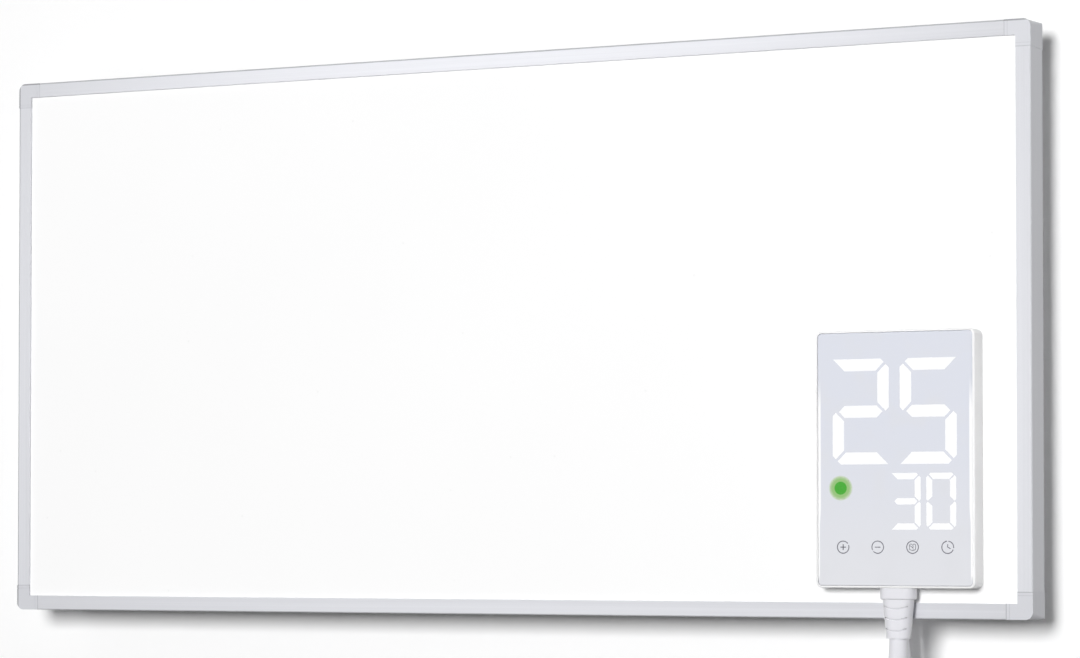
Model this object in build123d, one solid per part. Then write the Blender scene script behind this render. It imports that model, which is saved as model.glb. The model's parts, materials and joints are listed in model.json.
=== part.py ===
"""Infrared panel heater, 600 x 300 mm, with a wired touch controller on its front plate.

Frame: +X to the right, the front faces -Y, +Z up, millimetres. The origin is the centre of the wall fixing
holes, on the wall plane Y = 0. The panel hangs on two wall rails; "d" is a depth counted from the panel's
front face towards the wall, "t" is a depth counted from the controller's front face.
"""

import math
import os

from build123d import *

# ---------------------------------------------------------------- panel
PANEL_WIDTH = 600.0
PANEL_HEIGHT = 300.0
PANEL_DEPTH = 20.0
WALL_GAP = 25.0  # from the wall to the back of the frame
THROUGH = 1.0  # how far a cut runs past the faces it opens

# frame profile and corner pieces
FRAME_FACE = 8.0  # width of the front lip
FRAME_WALL = 1.4
FRAME_SHELF = 1.2  # thickness of the two inner shelves
SHELF_REACH = 4.5
BACK_LIP_SETBACK = 1.0  # of the back lip behind the front one
FACE_GROOVE_WIDTH = 0.5
FACE_GROOVE_DEPTH = 0.06
FACE_GROOVE_COUNT = 3
FRAME_EDGE_RADIUS = 0.8
FRAME_LIP_RADIUS = 0.35
FRAME_REAR_CHAMFER = 0.7
CORNER_LEG = 14.0
CORNER_FRONT_RADIUS = 4.0
CORNER_BACK_RADIUS = 1.0
CORNER_STEP_INSET = 2.0  # the fine line beside each joint
JOINT_GROOVE_WIDTH = 0.4  # at the joint, round the front and the outer side
JOINT_GROOVE_DEPTH = 0.15
KEY_LENGTH = 28.0
KEY_CLEARANCE = 0.15
KEY_WALL = 1.6
KEY_CELL_COUNT = 2
KEY_TIP_CHAMFER = 1.5

# plates and layers, from the front to the back
FRONT_PLATE = 1.0
BACK_PLATE = 0.8
FILM = 0.2
BUSBAR = 0.2
SLOT_CLEARANCE = 0.15
PLATE_EDGE_GAP = 0.6  # from a plate's edge to the frame's wall
PLATE_CORNER_RADIUS = 2.0
LAYER_MARGIN = 4.0  # from the frame's front lip to the films' edge
BOARD_MARGIN = 1.0  # from the frame's front lip to the insulation board
HEATER_MARGIN = 12.0  # from the films' edge to the heating bands
BAND_COUNT = 14
BAND_GAP = 8.0
BUSBAR_WIDTH = 8.0

# thermal cutouts and wiring inside the insulation board
CUTOUT_LENGTH = 20.0
CUTOUT_WIDTH = 7.4
CUTOUT_THICKNESS = 3.4
CUTOUT_CHAMFER = 0.8
CUTOUT_X = 90.0
CUTOUT_SPACING = 80.0
POCKET_CLEARANCE = 0.3
WIRE_DIAMETER = 2.4
WIRE_BEND = 4.0
WIRE_BEND_SHARE = 0.8  # of the shorter run beside a bend
WIRE_CHANNEL_GAP = 0.5
WIRE_HOLE_GAP = 1.2
WIRE_SPACING = 16.0
WIRE_RISE = 3.0  # from the terminal box's floor to the wires' ends
WIRE_BELOW_BLOCK = 2.0

# ---------------------------------------------------------------- wall rails and hanger rails
WALL_RAIL_WIDTH = 30.0
WALL_RAIL_MARGIN = 38.0  # from the panel's upper and lower edges to the rails' ends
WALL_RAIL_STEEL = 1.5
WALL_RAIL_CORNER = 6.0
WALL_HOLE_GAP = 20.0  # from a screw hole's centre to the nearer hook's window
WALL_HOLE_RADIUS = 2.75
HOOK_END_MARGIN = 12.0  # from a rail's end to the nearest hook or window
HOOK_WIDTH = 18.0
HOOK_GAP = 6.5
HOOK_HEIGHT = 12.0
HOOK_WINDOW_MARGIN = 0.75
HOOK_TIP_CHAMFER = 3.0
HANGER_BOX_GAP = 19.0  # from a hanger rail's end to the terminal box
HANGER_OVERHANG = 16.0  # past the outer edge of the hook
HANGER_STEEL = 1.2
HANGER_FLANGE = 18.0
HANGER_OVER_HOOK = 2.0  # from the hook's tip to the hanger's web
BEND_SHARE = 0.45  # of the steel's thickness, as the radius of its bends and edges
RIVET_COUNT = 4
RIVET_END_INSET = 15.0
RIVET_RADIUS = 1.6
RIVET_HEAD_RADIUS = 3.2
RIVET_HEAD = 1.1
RIVET_BULB_RADIUS = 2.3
RIVET_BULB = 3.0
RIVET_CLEARANCE = 0.05
RELIEF_POCKET_GAP = 1.0  # round rivet bulbs and screw tips in the board

# ---------------------------------------------------------------- terminal box on the back
BOX_RIGHT_MARGIN = 52.0  # from the panel's right edge
BOX_BOTTOM_MARGIN = 24.0  # from the panel's lower edge
BOX_WIDTH = 84.0
BOX_HEIGHT = 60.0
BOX_DEPTH = 17.4
BOX_WALL = 2.0
BOX_FLOOR = 1.6
BOX_CORNER = 4.0
BOX_LID = 2.0
BOX_LID_CHAMFER = 0.7
BOX_BOSS_RADIUS = 3.6
BOX_BOSS_INSET = 5.4
BOX_SCREW_RADIUS = 1.5
BOX_SCREW_HEAD_RADIUS = 2.8
BOX_SCREW_HEAD = 1.2
BOX_SCREW_LENGTH = 9.0  # of the holes in the lid's bosses
BOX_SCREW_TIP_GAP = 1.0
SCREW_CLEARANCE = 0.05
SCREW_SLOT_WIDTH = 0.6
SCREW_SLOT_DEPTH = 0.4
FIXING_SCREW_X = 30.0
FIXING_SCREW_Z = 14.0
FIXING_SCREW_LENGTH = 6.0
BLOCK_WIDTH = 30.0
BLOCK_HEIGHT = 17.0
BLOCK_DEPTH = 11.0
BLOCK_TOP_GAP = 1.0
BLOCK_POLES = 3
BLOCK_WELL_RADIUS = 2.5
BLOCK_WELL_DEPTH = 5.5
BLOCK_WELL_RISE = 3.4  # above the block's middle
BLOCK_MOUTH_RADIUS = 2.9
BLOCK_MOUTH_DEPTH = 5.6
BLOCK_GROOVE_WIDTH = 1.0
BLOCK_GROOVE_DEPTH = 2.0
BLOCK_SCREW_HEIGHT = 3.6
ENTRY_SPACING = 27.8  # between the mains entry and the controller lead's entry
ENTRY_TAB_START = 1.0  # of the lid's tongues behind the entries' axis
GROMMET_RADIUS = 6.8
GROMMET_BORE_RADIUS = 3.6
GROMMET_FLANGE = 1.6
GROMMET_NECK_RADIUS = 5.4
CLAMP_SPAN = 22.0
CLAMP_BAR = 6.0
CLAMP_BAR_DEPTH = 2.4
CLAMP_GRIP_GAP = 0.3
CLAMP_PILOT_FLOOR = 2.0
EARTH_X = -28.0
EARTH_Z = 2.0
EARTH_TAG = 0.8
EARTH_TAG_RADIUS = 3.0
EARTH_TAG_LENGTH = 11.0
EARTH_BARREL_RADIUS = 1.9
EARTH_BARREL_START = 8.0
EARTH_BARREL_LENGTH = 7.0

# ---------------------------------------------------------------- controller
CONTROLLER_RIGHT_MARGIN = 26.0  # from the panel's right edge
CONTROLLER_BOTTOM_MARGIN = 15.5  # from the panel's lower edge
CONTROLLER_WIDTH = 84.4
CONTROLLER_HEIGHT = 130.0
CONTROLLER_RADIUS = 3.3
CONTROLLER_WALL = 1.8
CONTROLLER_RIM = 1.1
RIM_PROUD = 0.1  # the rim stands this much in front of the glass
RIM_EDGE_RADIUS = 0.8
GLASS = 1.3
GLASS_EDGE_RADIUS = 0.5
GLASS_CLEARANCE = 0.1
GLASS_LEDGE = 2.0
LEDGE_THICKNESS = 1.2
COVER = 1.6
COVER_LIP = 1.0
INLAY = 0.3
WINDOW_RADIUS = 1.0
GUIDE_THICKNESS = 3.8
GUIDE_MARGIN = 3.4
GUIDE_RADIUS = 2.0
BOARD_THICKNESS = 1.2
BOARD_RADIUS = 1.0
BOARD_SIDE_GAP = 2.4
BOARD_LOWER_GAP = 3.2
BOARD_BOSS_GAP = 0.4
BAY_CLEARANCE = 0.6  # between the parts on the board's back and the cover
BOSS_RADIUS = 3.0
BOSS_INSET = 5.7
BOSS_PILOT_RADIUS = 1.15
BOSS_PILOT_EXTRA = 1.0
COVER_SCREW_RADIUS = 1.1
COVER_SCREW_HEAD_RADIUS = 2.1
COVER_SCREW_HEAD = 1.0
COVER_SCREW_LENGTH = 6.0
MAGNET_RADIUS = 6.0
MAGNET_THICKNESS = 2.5
MAGNET_SIDE_MARGIN = 15.2  # from the controller's sides to the magnets' centres
MAGNET_TOP_MARGIN = 23.0
MAGNET_BOTTOM_MARGIN = 31.0
MAGNET_CUP_WALL = 1.5
MAGNET_CUP_FLOOR = 1.0
MAGNET_CLEARANCE = 0.05

# display: digits, pilot light and touch keys
DISPLAY_SIDE_MARGIN = 9.3  # from the controller's sides to the large digits
DISPLAY_TOP_MARGIN = 14.5  # from the controller's top to the large digits
DISPLAY_BOTTOM_MARGIN = 29.35  # from the controller's bottom to the small digits
DIGIT_ROW_GAP = 4.45
LARGE_DIGITS = "25"
LARGE_DIGIT_GAP = 5.8
LARGE_STROKE = 6.1
LARGE_SEGMENT_GAP = 1.4
LARGE_CLIP = 1.7
SMALL_DIGITS = "30"
SMALL_DIGIT_HEIGHT = 28.5
SMALL_DIGIT_WIDTH = 15.7
SMALL_DIGIT_GAP = 2.9
SMALL_DIGIT_INSET = 0.45  # from the large digits' right edge
SMALL_STROKE = 3.2
SMALL_SEGMENT_GAP = 0.7
SMALL_CLIP = 0.9
SHARP_END_GAP = 0.3
LIT_SEGMENTS = {"0": "abcdef", "2": "abdeg", "3": "abcdg", "5": "acdfg"}
ALL_SEGMENTS = "abcdefg"
MITRE_SHARE = 0.39  # of the stroke, where the mitres meet at the digit's waist
PILOT_LEFT_MARGIN = 13.5
PILOT_BOTTOM_MARGIN = 50.4
PILOT_RADIUS = 5.7
PILOT_WELL_RADIUS = 3.0
KEY_COUNT = 4
KEY_PITCH = 18.45
KEY_SHIFT = 0.25  # of the row to the right of the controller's middle
KEY_BOTTOM_MARGIN = 20.6
KEY_PAD_RADIUS = 3.5

# parts on the board's back, down from the controller's top
COMPONENT_RADIUS = 0.8
SUPPLY_TOP_MARGIN = 29.0
SUPPLY_HEIGHT = 20.0
SUPPLY_CUP_GAP = 2.5
SPREADER_GAP = 8.0  # below the supply module
SPREADER_HEIGHT = 28.0
SPREADER_THICKNESS = 1.2
TRIAC_WIDTH = 10.2
TRIAC_HEIGHT = 9.0
TRIAC_TAB = 6.0
TRIAC_TAB_OVERLAP = 0.8
TRIAC_TAB_THICKNESS = 1.3
TRIAC_TAB_HOLE_RADIUS = 1.7
TRIAC_LEGS = 3
TRIAC_LEG_PITCH = 2.54
TRIAC_LEG_WIDTH = 0.8
TRIAC_LEG_THICKNESS = 0.6
TRIAC_LEG_GAP = 1.2  # from the spreader's edge to the legs' feet
TERMINAL_WIDTH = 26.0
TERMINAL_HEIGHT = 7.0
TERMINAL_BOTTOM_MARGIN = 13.5  # from the controller's bottom to the terminal's middle
TERMINAL_WELL_RADIUS = 0.8
TERMINAL_WELL_DEPTH = 1.5
SENSOR_LEFT_MARGIN = 12.2
SENSOR_RISE = 3.0  # above the board's lower edge
SENSOR_RADIUS = 1.2
SENSOR_LENGTH = 3.0
SENSOR_STAND = 1.0
SENSOR_LEG_RADIUS = 0.25
SENSOR_LEG_SPACING = 1.2
VENT_COUNT = 3
VENT_PITCH = 3.0
VENT_WIDTH = 1.4
VENT_LENGTH = 3.0
VENT_BOARD_GAP = 1.0

# strain reliefs and the lead
CORD_DIAMETER = 9.3
CORD_CLEARANCE = 0.1
CORD_SEAT = 3.0  # how deep the lead sits in each relief
RELIEF_FRONT_GAP = 0.2  # from the controller's face to the collar
RELIEF_FRAME_GAP = 0.4  # from the collar to the frame's front
RELIEF_FLAT_WALL = 0.85  # of the relief in front of and behind the lead
RELIEF_END_WALL = 1.5  # of the relief beside the lead, at its end
RELIEF_ROUND_SHARE = 0.48  # of the depth, as the radius of the round sides
COLLAR_WIDTH = 18.8
COLLAR_HEIGHT = 5.8
COLLAR_FILLET = 1.0
TAPER_WIDTH = 16.1
TAPER_HEIGHT = 19.5
GRIP_COUNT = 3
GRIP_START = 3.5  # from the collar to the first groove
GRIP_PITCH = 5.6
GRIP_WIDTH = 0.7
GRIP_DEPTH = 0.8
GRIP_DROP = 1.3  # the grooves droop towards the middle
GRIP_SHARE = 0.82  # of the relief's width
NECK_WIDTH = 12.0
NECK_FRONT = 2.9  # in front of the lead's axis
NECK_BACK_GAP = 1.0  # from the neck to the cover
INNER_FLANGE_WIDTH = 16.0
INNER_FLANGE = 1.8
REAR_COLLAR_WIDTH = 17.0
REAR_COLLAR_GAP = 0.7  # from the collar to the box's floor and lid
REAR_COLLAR_HEIGHT = 5.0
REAR_TAPER_STEP = 1.0  # from the collar's sides in to the taper's
REAR_TAPER_HEIGHT = 15.0
REAR_GRIP_COUNT = 2
REAR_NECK_RADIUS = 6.5
CORE_COUNT = 5
CORE_DIAMETER = 1.8
CORE_PITCH = 2.4

# The lead's loop, from the controller to the terminal box: how far right of the two entries' middle, the
# share of the way from the one entry's depth to the other's, and the height.
LEAD_LOOP = (
    (-32.0, 0.01, -235.0),
    (-56.5, 0.08, -275.0),
    (-50.0, 0.22, -315.0),
    (-20.0, 0.40, -338.5),
    (20.0, 0.60, -338.5),
    (50.0, 0.78, -315.0),
    (56.5, 0.92, -275.0),
    (32.0, 0.99, -235.0),
)
LEAD_FRONT_TURN_Z = -198.0
LEAD_REAR_TURN_Z = -196.0

# ---------------------------------------------------------------- places that the sizes give
FRONT_Y = -(WALL_GAP + PANEL_DEPTH)
BACK_LIP_REACH = FRAME_FACE - BACK_LIP_SETBACK
PLATE_D = FRAME_WALL  # front of the front plate
SLOT_END_D = PLATE_D + FRONT_PLATE + SLOT_CLEARANCE
SHELF_END_D = SLOT_END_D + FRAME_SHELF
BACK_FACE_D = PANEL_DEPTH - FRAME_WALL  # back of the back plate
BACK_SLOT_D = BACK_FACE_D - BACK_PLATE - SLOT_CLEARANCE
BACK_SHELF_D = BACK_SLOT_D - FRAME_SHELF
FRONT_FILM_D = PLATE_D + FRONT_PLATE
HEATING_FILM_D = FRONT_FILM_D + FILM
BUSBAR_D = HEATING_FILM_D + FILM
REAR_FILM_D = BUSBAR_D + BUSBAR
FOIL_D = REAR_FILM_D + FILM
BOARD_D = FOIL_D + FILM
BOARD_END_D = BACK_FACE_D - BACK_PLATE
WIRE_D = BOARD_D + CUTOUT_THICKNESS / 2
PLATE_INSET = FRAME_WALL + PLATE_EDGE_GAP
FILM_WIDTH = PANEL_WIDTH - 2 * (FRAME_FACE + LAYER_MARGIN)
FILM_HEIGHT = PANEL_HEIGHT - 2 * (FRAME_FACE + LAYER_MARGIN)
HEATER_WIDTH = FILM_WIDTH - 2 * HEATER_MARGIN
HEATER_HEIGHT = FILM_HEIGHT - 2 * HEATER_MARGIN
BUSBAR_Z = (HEATER_HEIGHT - BUSBAR_WIDTH) / 2


def depth(d):
    """Y of a depth behind the panel's front face."""
    return FRONT_Y + d


BACK_Y = depth(BACK_FACE_D)
BOX_X = PANEL_WIDTH / 2 - BOX_RIGHT_MARGIN - BOX_WIDTH / 2
BOX_Z = BOX_BOTTOM_MARGIN + (BOX_HEIGHT - PANEL_HEIGHT) / 2
BOX_BOTTOM_Z = BOX_Z - BOX_HEIGHT / 2
BOX_FLOOR_Y = BACK_Y + BOX_FLOOR
BOX_REAR_Y = BACK_Y + BOX_DEPTH
BLOCK_Z = BOX_Z + BOX_HEIGHT / 2 - BOX_WALL - BLOCK_TOP_GAP - BLOCK_HEIGHT / 2
WIRE_ENTRY_Z = BLOCK_Z - BLOCK_HEIGHT / 2 - WIRE_BELOW_BLOCK
WIRE_ENTRY_XS = (BOX_X - WIRE_SPACING / 2, BOX_X + WIRE_SPACING / 2)
ENTRY_Y = (BOX_FLOOR_Y + BOX_REAR_Y) / 2
LEAD_ENTRY_X = BOX_X + ENTRY_SPACING / 2
MAINS_ENTRY_X = BOX_X - ENTRY_SPACING / 2
REAR_COLLAR_DEPTH = BOX_DEPTH - BOX_FLOOR - 2 * REAR_COLLAR_GAP

HANGER_LENGTH = 2 * (BOX_X - BOX_WIDTH / 2 - HANGER_BOX_GAP)
WALL_RAIL_X = HANGER_LENGTH / 2 - HANGER_OVERHANG - HOOK_WIDTH / 2
WALL_RAIL_HEIGHT = PANEL_HEIGHT - 2 * WALL_RAIL_MARGIN
HOOK_WINDOW_HEIGHT = HOOK_HEIGHT + HOOK_GAP + WALL_RAIL_STEEL
HOOK_FLOORS = {
    "upper": WALL_RAIL_HEIGHT / 2 - HOOK_END_MARGIN - HOOK_WINDOW_HEIGHT,
    "lower": -WALL_RAIL_HEIGHT / 2 + HOOK_END_MARGIN,
}

COLLAR_DEPTH = CORD_DIAMETER + 2 * RELIEF_FLAT_WALL
CONTROLLER_THICKNESS = RELIEF_FRONT_GAP + COLLAR_DEPTH + RELIEF_FRAME_GAP + PLATE_D
CONTROLLER_X = PANEL_WIDTH / 2 - CONTROLLER_RIGHT_MARGIN - CONTROLLER_WIDTH / 2
CONTROLLER_Z = CONTROLLER_BOTTOM_MARGIN + (CONTROLLER_HEIGHT - PANEL_HEIGHT) / 2
CONTROLLER_FRONT_Y = depth(PLATE_D) - CONTROLLER_THICKNESS
CONTROLLER_BOTTOM_Z = CONTROLLER_Z - CONTROLLER_HEIGHT / 2
GLASS_T = RIM_PROUD
GLASS_BACK_T = GLASS_T + GLASS
LEDGE_BACK_T = GLASS_BACK_T + LEDGE_THICKNESS
GUIDE_BACK_T = GLASS_BACK_T + GUIDE_THICKNESS
BOARD_BACK_T = GUIDE_BACK_T + BOARD_THICKNESS
COVER_T = CONTROLLER_THICKNESS - COVER
BAY_DEPTH = COVER_T - BOARD_BACK_T - BAY_CLEARANCE
GLASS_WIDTH = CONTROLLER_WIDTH - 2 * (CONTROLLER_RIM + GLASS_CLEARANCE)
GLASS_HEIGHT = CONTROLLER_HEIGHT - 2 * (CONTROLLER_RIM + GLASS_CLEARANCE)
BOARD_BOTTOM_Z = -CONTROLLER_HEIGHT / 2 + CONTROLLER_WALL + BOARD_LOWER_GAP

DISPLAY_RIGHT = CONTROLLER_WIDTH / 2 - DISPLAY_SIDE_MARGIN
DISPLAY_TOP = CONTROLLER_HEIGHT / 2 - DISPLAY_TOP_MARGIN
DISPLAY_BOTTOM = -CONTROLLER_HEIGHT / 2 + DISPLAY_BOTTOM_MARGIN
LARGE_DIGIT_WIDTH = DISPLAY_RIGHT - LARGE_DIGIT_GAP / 2
LARGE_DIGIT_HEIGHT = DISPLAY_TOP - DISPLAY_BOTTOM - SMALL_DIGIT_HEIGHT - DIGIT_ROW_GAP
LARGE_ROW = {
    "digits": LARGE_DIGITS,
    "right": DISPLAY_RIGHT,
    "z": DISPLAY_TOP - LARGE_DIGIT_HEIGHT / 2,
    "width": LARGE_DIGIT_WIDTH,
    "height": LARGE_DIGIT_HEIGHT,
    "pitch": LARGE_DIGIT_WIDTH + LARGE_DIGIT_GAP,
    "stroke": LARGE_STROKE,
    "gap": LARGE_SEGMENT_GAP,
    "clip": LARGE_CLIP,
}
SMALL_ROW = {
    "digits": SMALL_DIGITS,
    "right": DISPLAY_RIGHT - SMALL_DIGIT_INSET,
    "z": DISPLAY_BOTTOM + SMALL_DIGIT_HEIGHT / 2,
    "width": SMALL_DIGIT_WIDTH,
    "height": SMALL_DIGIT_HEIGHT,
    "pitch": SMALL_DIGIT_WIDTH + SMALL_DIGIT_GAP,
    "stroke": SMALL_STROKE,
    "gap": SMALL_SEGMENT_GAP,
    "clip": SMALL_CLIP,
}
PILOT_X = -CONTROLLER_WIDTH / 2 + PILOT_LEFT_MARGIN
PILOT_Z = -CONTROLLER_HEIGHT / 2 + PILOT_BOTTOM_MARGIN
KEY_Z = -CONTROLLER_HEIGHT / 2 + KEY_BOTTOM_MARGIN
MAGNET_X = CONTROLLER_WIDTH / 2 - MAGNET_SIDE_MARGIN
MAGNET_ZS = (CONTROLLER_HEIGHT / 2 - MAGNET_TOP_MARGIN, -CONTROLLER_HEIGHT / 2 + MAGNET_BOTTOM_MARGIN)
SUPPLY_WIDTH = 2 * (MAGNET_X - MAGNET_RADIUS - MAGNET_CUP_WALL - SUPPLY_CUP_GAP)
SUPPLY_Z = CONTROLLER_HEIGHT / 2 - SUPPLY_TOP_MARGIN - SUPPLY_HEIGHT / 2
SPREADER_Z = SUPPLY_Z - SUPPLY_HEIGHT / 2 - SPREADER_GAP - SPREADER_HEIGHT / 2
TERMINAL_Z = -CONTROLLER_HEIGHT / 2 + TERMINAL_BOTTOM_MARGIN
SENSOR_X = -CONTROLLER_WIDTH / 2 + SENSOR_LEFT_MARGIN

LEAD_Y = CONTROLLER_FRONT_Y + RELIEF_FRONT_GAP + COLLAR_DEPTH / 2
NECK_BACK_Y = CONTROLLER_FRONT_Y + COVER_T - NECK_BACK_GAP
RELIEF_END_Z = CONTROLLER_BOTTOM_Z - COLLAR_HEIGHT - TAPER_HEIGHT
REAR_RELIEF_END_Z = BOX_BOTTOM_Z - REAR_COLLAR_HEIGHT - REAR_TAPER_HEIGHT


# ---------------------------------------------------------------- shared shapes
def block(x_span, y_span, z_span):
    """A plain block between the given low and high values."""
    spans = (x_span, y_span, z_span)
    middle = [(low + high) / 2 for low, high in spans]
    return Pos(*middle) * Box(*[high - low for low, high in spans])


def around(middle, half):
    """The low and high value at equal distances from a middle."""
    return (middle - half, middle + half)


def upright(x, y, z):
    """A plane parallel to the wall at a point: its x runs right, its y runs up and it faces the front."""
    return Plane(origin=(x, y, z), x_dir=(1, 0, 0), z_dir=(0, -1, 0))


def level(x, y, z):
    """A horizontal plane at a point, facing down."""
    return Plane(origin=(x, y, z), x_dir=(1, 0, 0), z_dir=(0, 0, -1))


def plate(width, height, radius, y_span, x=0.0, z=0.0):
    """A plate parallel to the wall with rounded corners."""
    outline = upright(x, y_span[1], z) * RectangleRounded(width, height, radius)
    return extrude(outline, y_span[1] - y_span[0])


def rod(x, z, radius, y_span):
    """A cylinder along Y."""
    return extrude(upright(x, y_span[1], z) * Circle(radius), y_span[1] - y_span[0])


def post(x, y, radius, z_span):
    """A cylinder along Z."""
    return extrude(level(x, y, z_span[1]) * Circle(radius), z_span[1] - z_span[0])


def past(span, low=THROUGH, high=THROUGH):
    """A span made longer at its ends, for a cut that runs through."""
    return (span[0] - low, span[1] + high)


def turned(x, z, profile):
    """A solid turned about an axis along Y; the profile lists (radius, y) points."""
    face = make_face(Polyline(*[(x + r, y, z) for r, y in profile], close=True))
    return revolve(face, Axis((x, 0, z), (0, 1, 0)))


def tube(points, radii, diameter):
    """A round tube along straight runs joined by tangent arcs, and its length."""
    path = FilletPolyline(*points, radius=radii)
    start = Plane(origin=path @ 0, z_dir=path % 0)
    return sweep(start * Circle(diameter / 2), path=path), path.length


def bend_radii(points):
    """The largest arc that each point's two runs allow."""
    radii = []
    for before, here, after in zip(points, points[1:], points[2:]):
        run_in, run_out = Vector(*here) - Vector(*before), Vector(*after) - Vector(*here)
        half_turn = math.radians(run_in.get_angle(run_out)) / 2
        radii.append(0.45 * min(run_in.length, run_out.length) / math.tan(half_turn))
    return radii


def screw(x, z, y_head, radius, head_radius, head, length):
    """A pan-head screw along Y, its head at the back and its shank pointing to the front."""
    under_y = y_head - head
    body = rod(x, z, head_radius, (under_y, y_head)) + rod(x, z, radius, (under_y - length, under_y))
    drive = (y_head - SCREW_SLOT_DEPTH, y_head + THROUGH)
    return body - block(around(x, head_radius), drive, around(z, SCREW_SLOT_WIDTH / 2))


def group(solids):
    """Several separate solids kept as one sub-part."""
    return Compound(children=[piece for solid in solids for piece in solid.solids()])


# ---------------------------------------------------------------- frame
def frame_section():
    """The frame's C profile: x is the distance in from the outer edge, y the depth."""
    outline = Polyline(
        (0, 0),
        (FRAME_FACE, 0),
        (FRAME_FACE, PLATE_D),
        (FRAME_WALL, PLATE_D),
        (FRAME_WALL, SLOT_END_D),
        (SHELF_REACH, SLOT_END_D),
        (SHELF_REACH, SHELF_END_D),
        (FRAME_WALL, SHELF_END_D),
        (FRAME_WALL, BACK_SHELF_D),
        (SHELF_REACH, BACK_SHELF_D),
        (SHELF_REACH, BACK_SLOT_D),
        (FRAME_WALL, BACK_SLOT_D),
        (FRAME_WALL, BACK_FACE_D),
        (BACK_LIP_REACH, BACK_FACE_D),
        (BACK_LIP_REACH, PANEL_DEPTH),
        (0, PANEL_DEPTH),
        close=True,
    )
    section = make_face(outline)
    section = fillet(section.vertices().sort_by_distance((0, 0))[0], FRAME_EDGE_RADIUS)
    section = fillet(section.vertices().sort_by_distance((FRAME_FACE, 0))[0], FRAME_LIP_RADIUS)
    section = chamfer(section.vertices().sort_by_distance((0, PANEL_DEPTH))[0], FRAME_REAR_CHAMFER)
    pitch = FRAME_FACE / (FACE_GROOVE_COUNT + 1)
    for index in range(FACE_GROOVE_COUNT):
        section -= Pos(pitch * (index + 1), 0) * Rectangle(FACE_GROOVE_WIDTH, 2 * FACE_GROOVE_DEPTH)
    return section


def frame_leg(middle, inward, along, length):
    """One extruded frame leg, centred on a point of the outer edge."""
    start = Vector(*middle) - Vector(*along) * (length / 2)
    return extrude(Plane(origin=start, x_dir=inward, z_dir=along) * frame_section(), length)


def frame_legs():
    """The four frame legs by name."""
    half_width, half_height = PANEL_WIDTH / 2, PANEL_HEIGHT / 2
    across, down = PANEL_WIDTH - 2 * CORNER_LEG, PANEL_HEIGHT - 2 * CORNER_LEG
    return {
        "frame_top": frame_leg((0, FRONT_Y, half_height), (0, 0, -1), (1, 0, 0), across),
        "frame_bottom": frame_leg((0, FRONT_Y, -half_height), (0, 0, 1), (-1, 0, 0), across),
        "frame_left": frame_leg((-half_width, FRONT_Y, 0), (1, 0, 0), (0, 0, 1), down),
        "frame_right": frame_leg((half_width, FRONT_Y, 0), (-1, 0, 0), (0, 0, -1), down),
    }


def corner_outline(radius):
    """The corner piece seen from the front: an L with one rounded outer corner."""
    leg, face = CORNER_LEG, FRAME_FACE
    turn = radius * (1 - math.sqrt(0.5))
    rim = ThreePointArc((0, radius), (turn, turn), (radius, 0))
    rest = Polyline((radius, 0), (leg, 0), (leg, face), (face, face), (face, leg), (0, leg), (0, radius))
    return make_face([rim, *rest.edges()])


def corner_key():
    """The hollow tongue that slides into a frame leg along X, from the corner at the origin."""
    a_span = (FRAME_WALL + KEY_CLEARANCE, BACK_LIP_REACH)
    d_span = (SHELF_END_D + KEY_CLEARANCE, BACK_SHELF_D - KEY_CLEARANCE)
    key = block((CORNER_LEG - KEY_WALL, CORNER_LEG + KEY_LENGTH), d_span, a_span)
    key = chamfer(key.faces().sort_by(Axis.X)[-1].edges(), KEY_TIP_CHAMFER)
    cell = (KEY_LENGTH - (KEY_CELL_COUNT + 1) * KEY_WALL) / KEY_CELL_COUNT
    for index in range(KEY_CELL_COUNT):
        start = CORNER_LEG + KEY_WALL + index * (cell + KEY_WALL)
        hollow_a = (a_span[0] + KEY_WALL, a_span[1] + KEY_WALL)
        key -= block((start, start + cell), (d_span[0] + KEY_WALL, d_span[1] - KEY_WALL), hollow_a)
    return key


def corner_piece():
    """A moulded corner at the lower left, its outer corner at the origin and its front on Y = 0."""
    front = upright(0, 0, 0) * corner_outline(CORNER_FRONT_RADIUS)
    corner = loft([front, upright(0, PANEL_DEPTH, 0) * corner_outline(CORNER_BACK_RADIUS)])
    slot_reach = (PLATE_INSET - KEY_CLEARANCE, CORNER_LEG + KEY_LENGTH)
    for slot in ((PLATE_D, SLOT_END_D), (BACK_SLOT_D, BACK_FACE_D)):
        corner -= block(slot_reach, slot, slot_reach)
    line = around(CORNER_LEG - CORNER_STEP_INSET, FACE_GROOVE_WIDTH / 2)
    joint = (CORNER_LEG - JOINT_GROOVE_WIDTH, CORNER_LEG + THROUGH)
    across, skin = past((0, FRAME_FACE)), (-THROUGH, JOINT_GROOVE_DEPTH)
    side = past((0, PANEL_DEPTH))
    for along, y_span, aside in ((line, skin, across), (joint, skin, across), (joint, side, skin)):
        corner = corner - block(along, y_span, aside) - block(aside, y_span, along)
    key = corner_key()
    return corner + key + key.mirror(Plane(origin=(0, 0, 0), z_dir=(1, 0, -1)))


def corner_pieces():
    """The four corner pieces by name, mirrored from one mould."""
    lower_left = Pos(-PANEL_WIDTH / 2, FRONT_Y, -PANEL_HEIGHT / 2) * corner_piece()
    lower_right = lower_left.mirror(Plane.YZ)
    return {
        "corner_bottom_left": lower_left,
        "corner_bottom_right": lower_right,
        "corner_top_left": lower_left.mirror(Plane.XY),
        "corner_top_right": lower_right.mirror(Plane.XY),
    }


# ---------------------------------------------------------------- plates, heater and insulation
def layer(width, height, start_d, thickness):
    """A sheet of the panel's sandwich."""
    return plate(width, height, PLATE_CORNER_RADIUS, (depth(start_d), depth(start_d + thickness)))


def cover_sheet(start_d, thickness):
    """A metal sheet held in one of the frame's slots."""
    return layer(PANEL_WIDTH - 2 * PLATE_INSET, PANEL_HEIGHT - 2 * PLATE_INSET, start_d, thickness)


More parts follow.
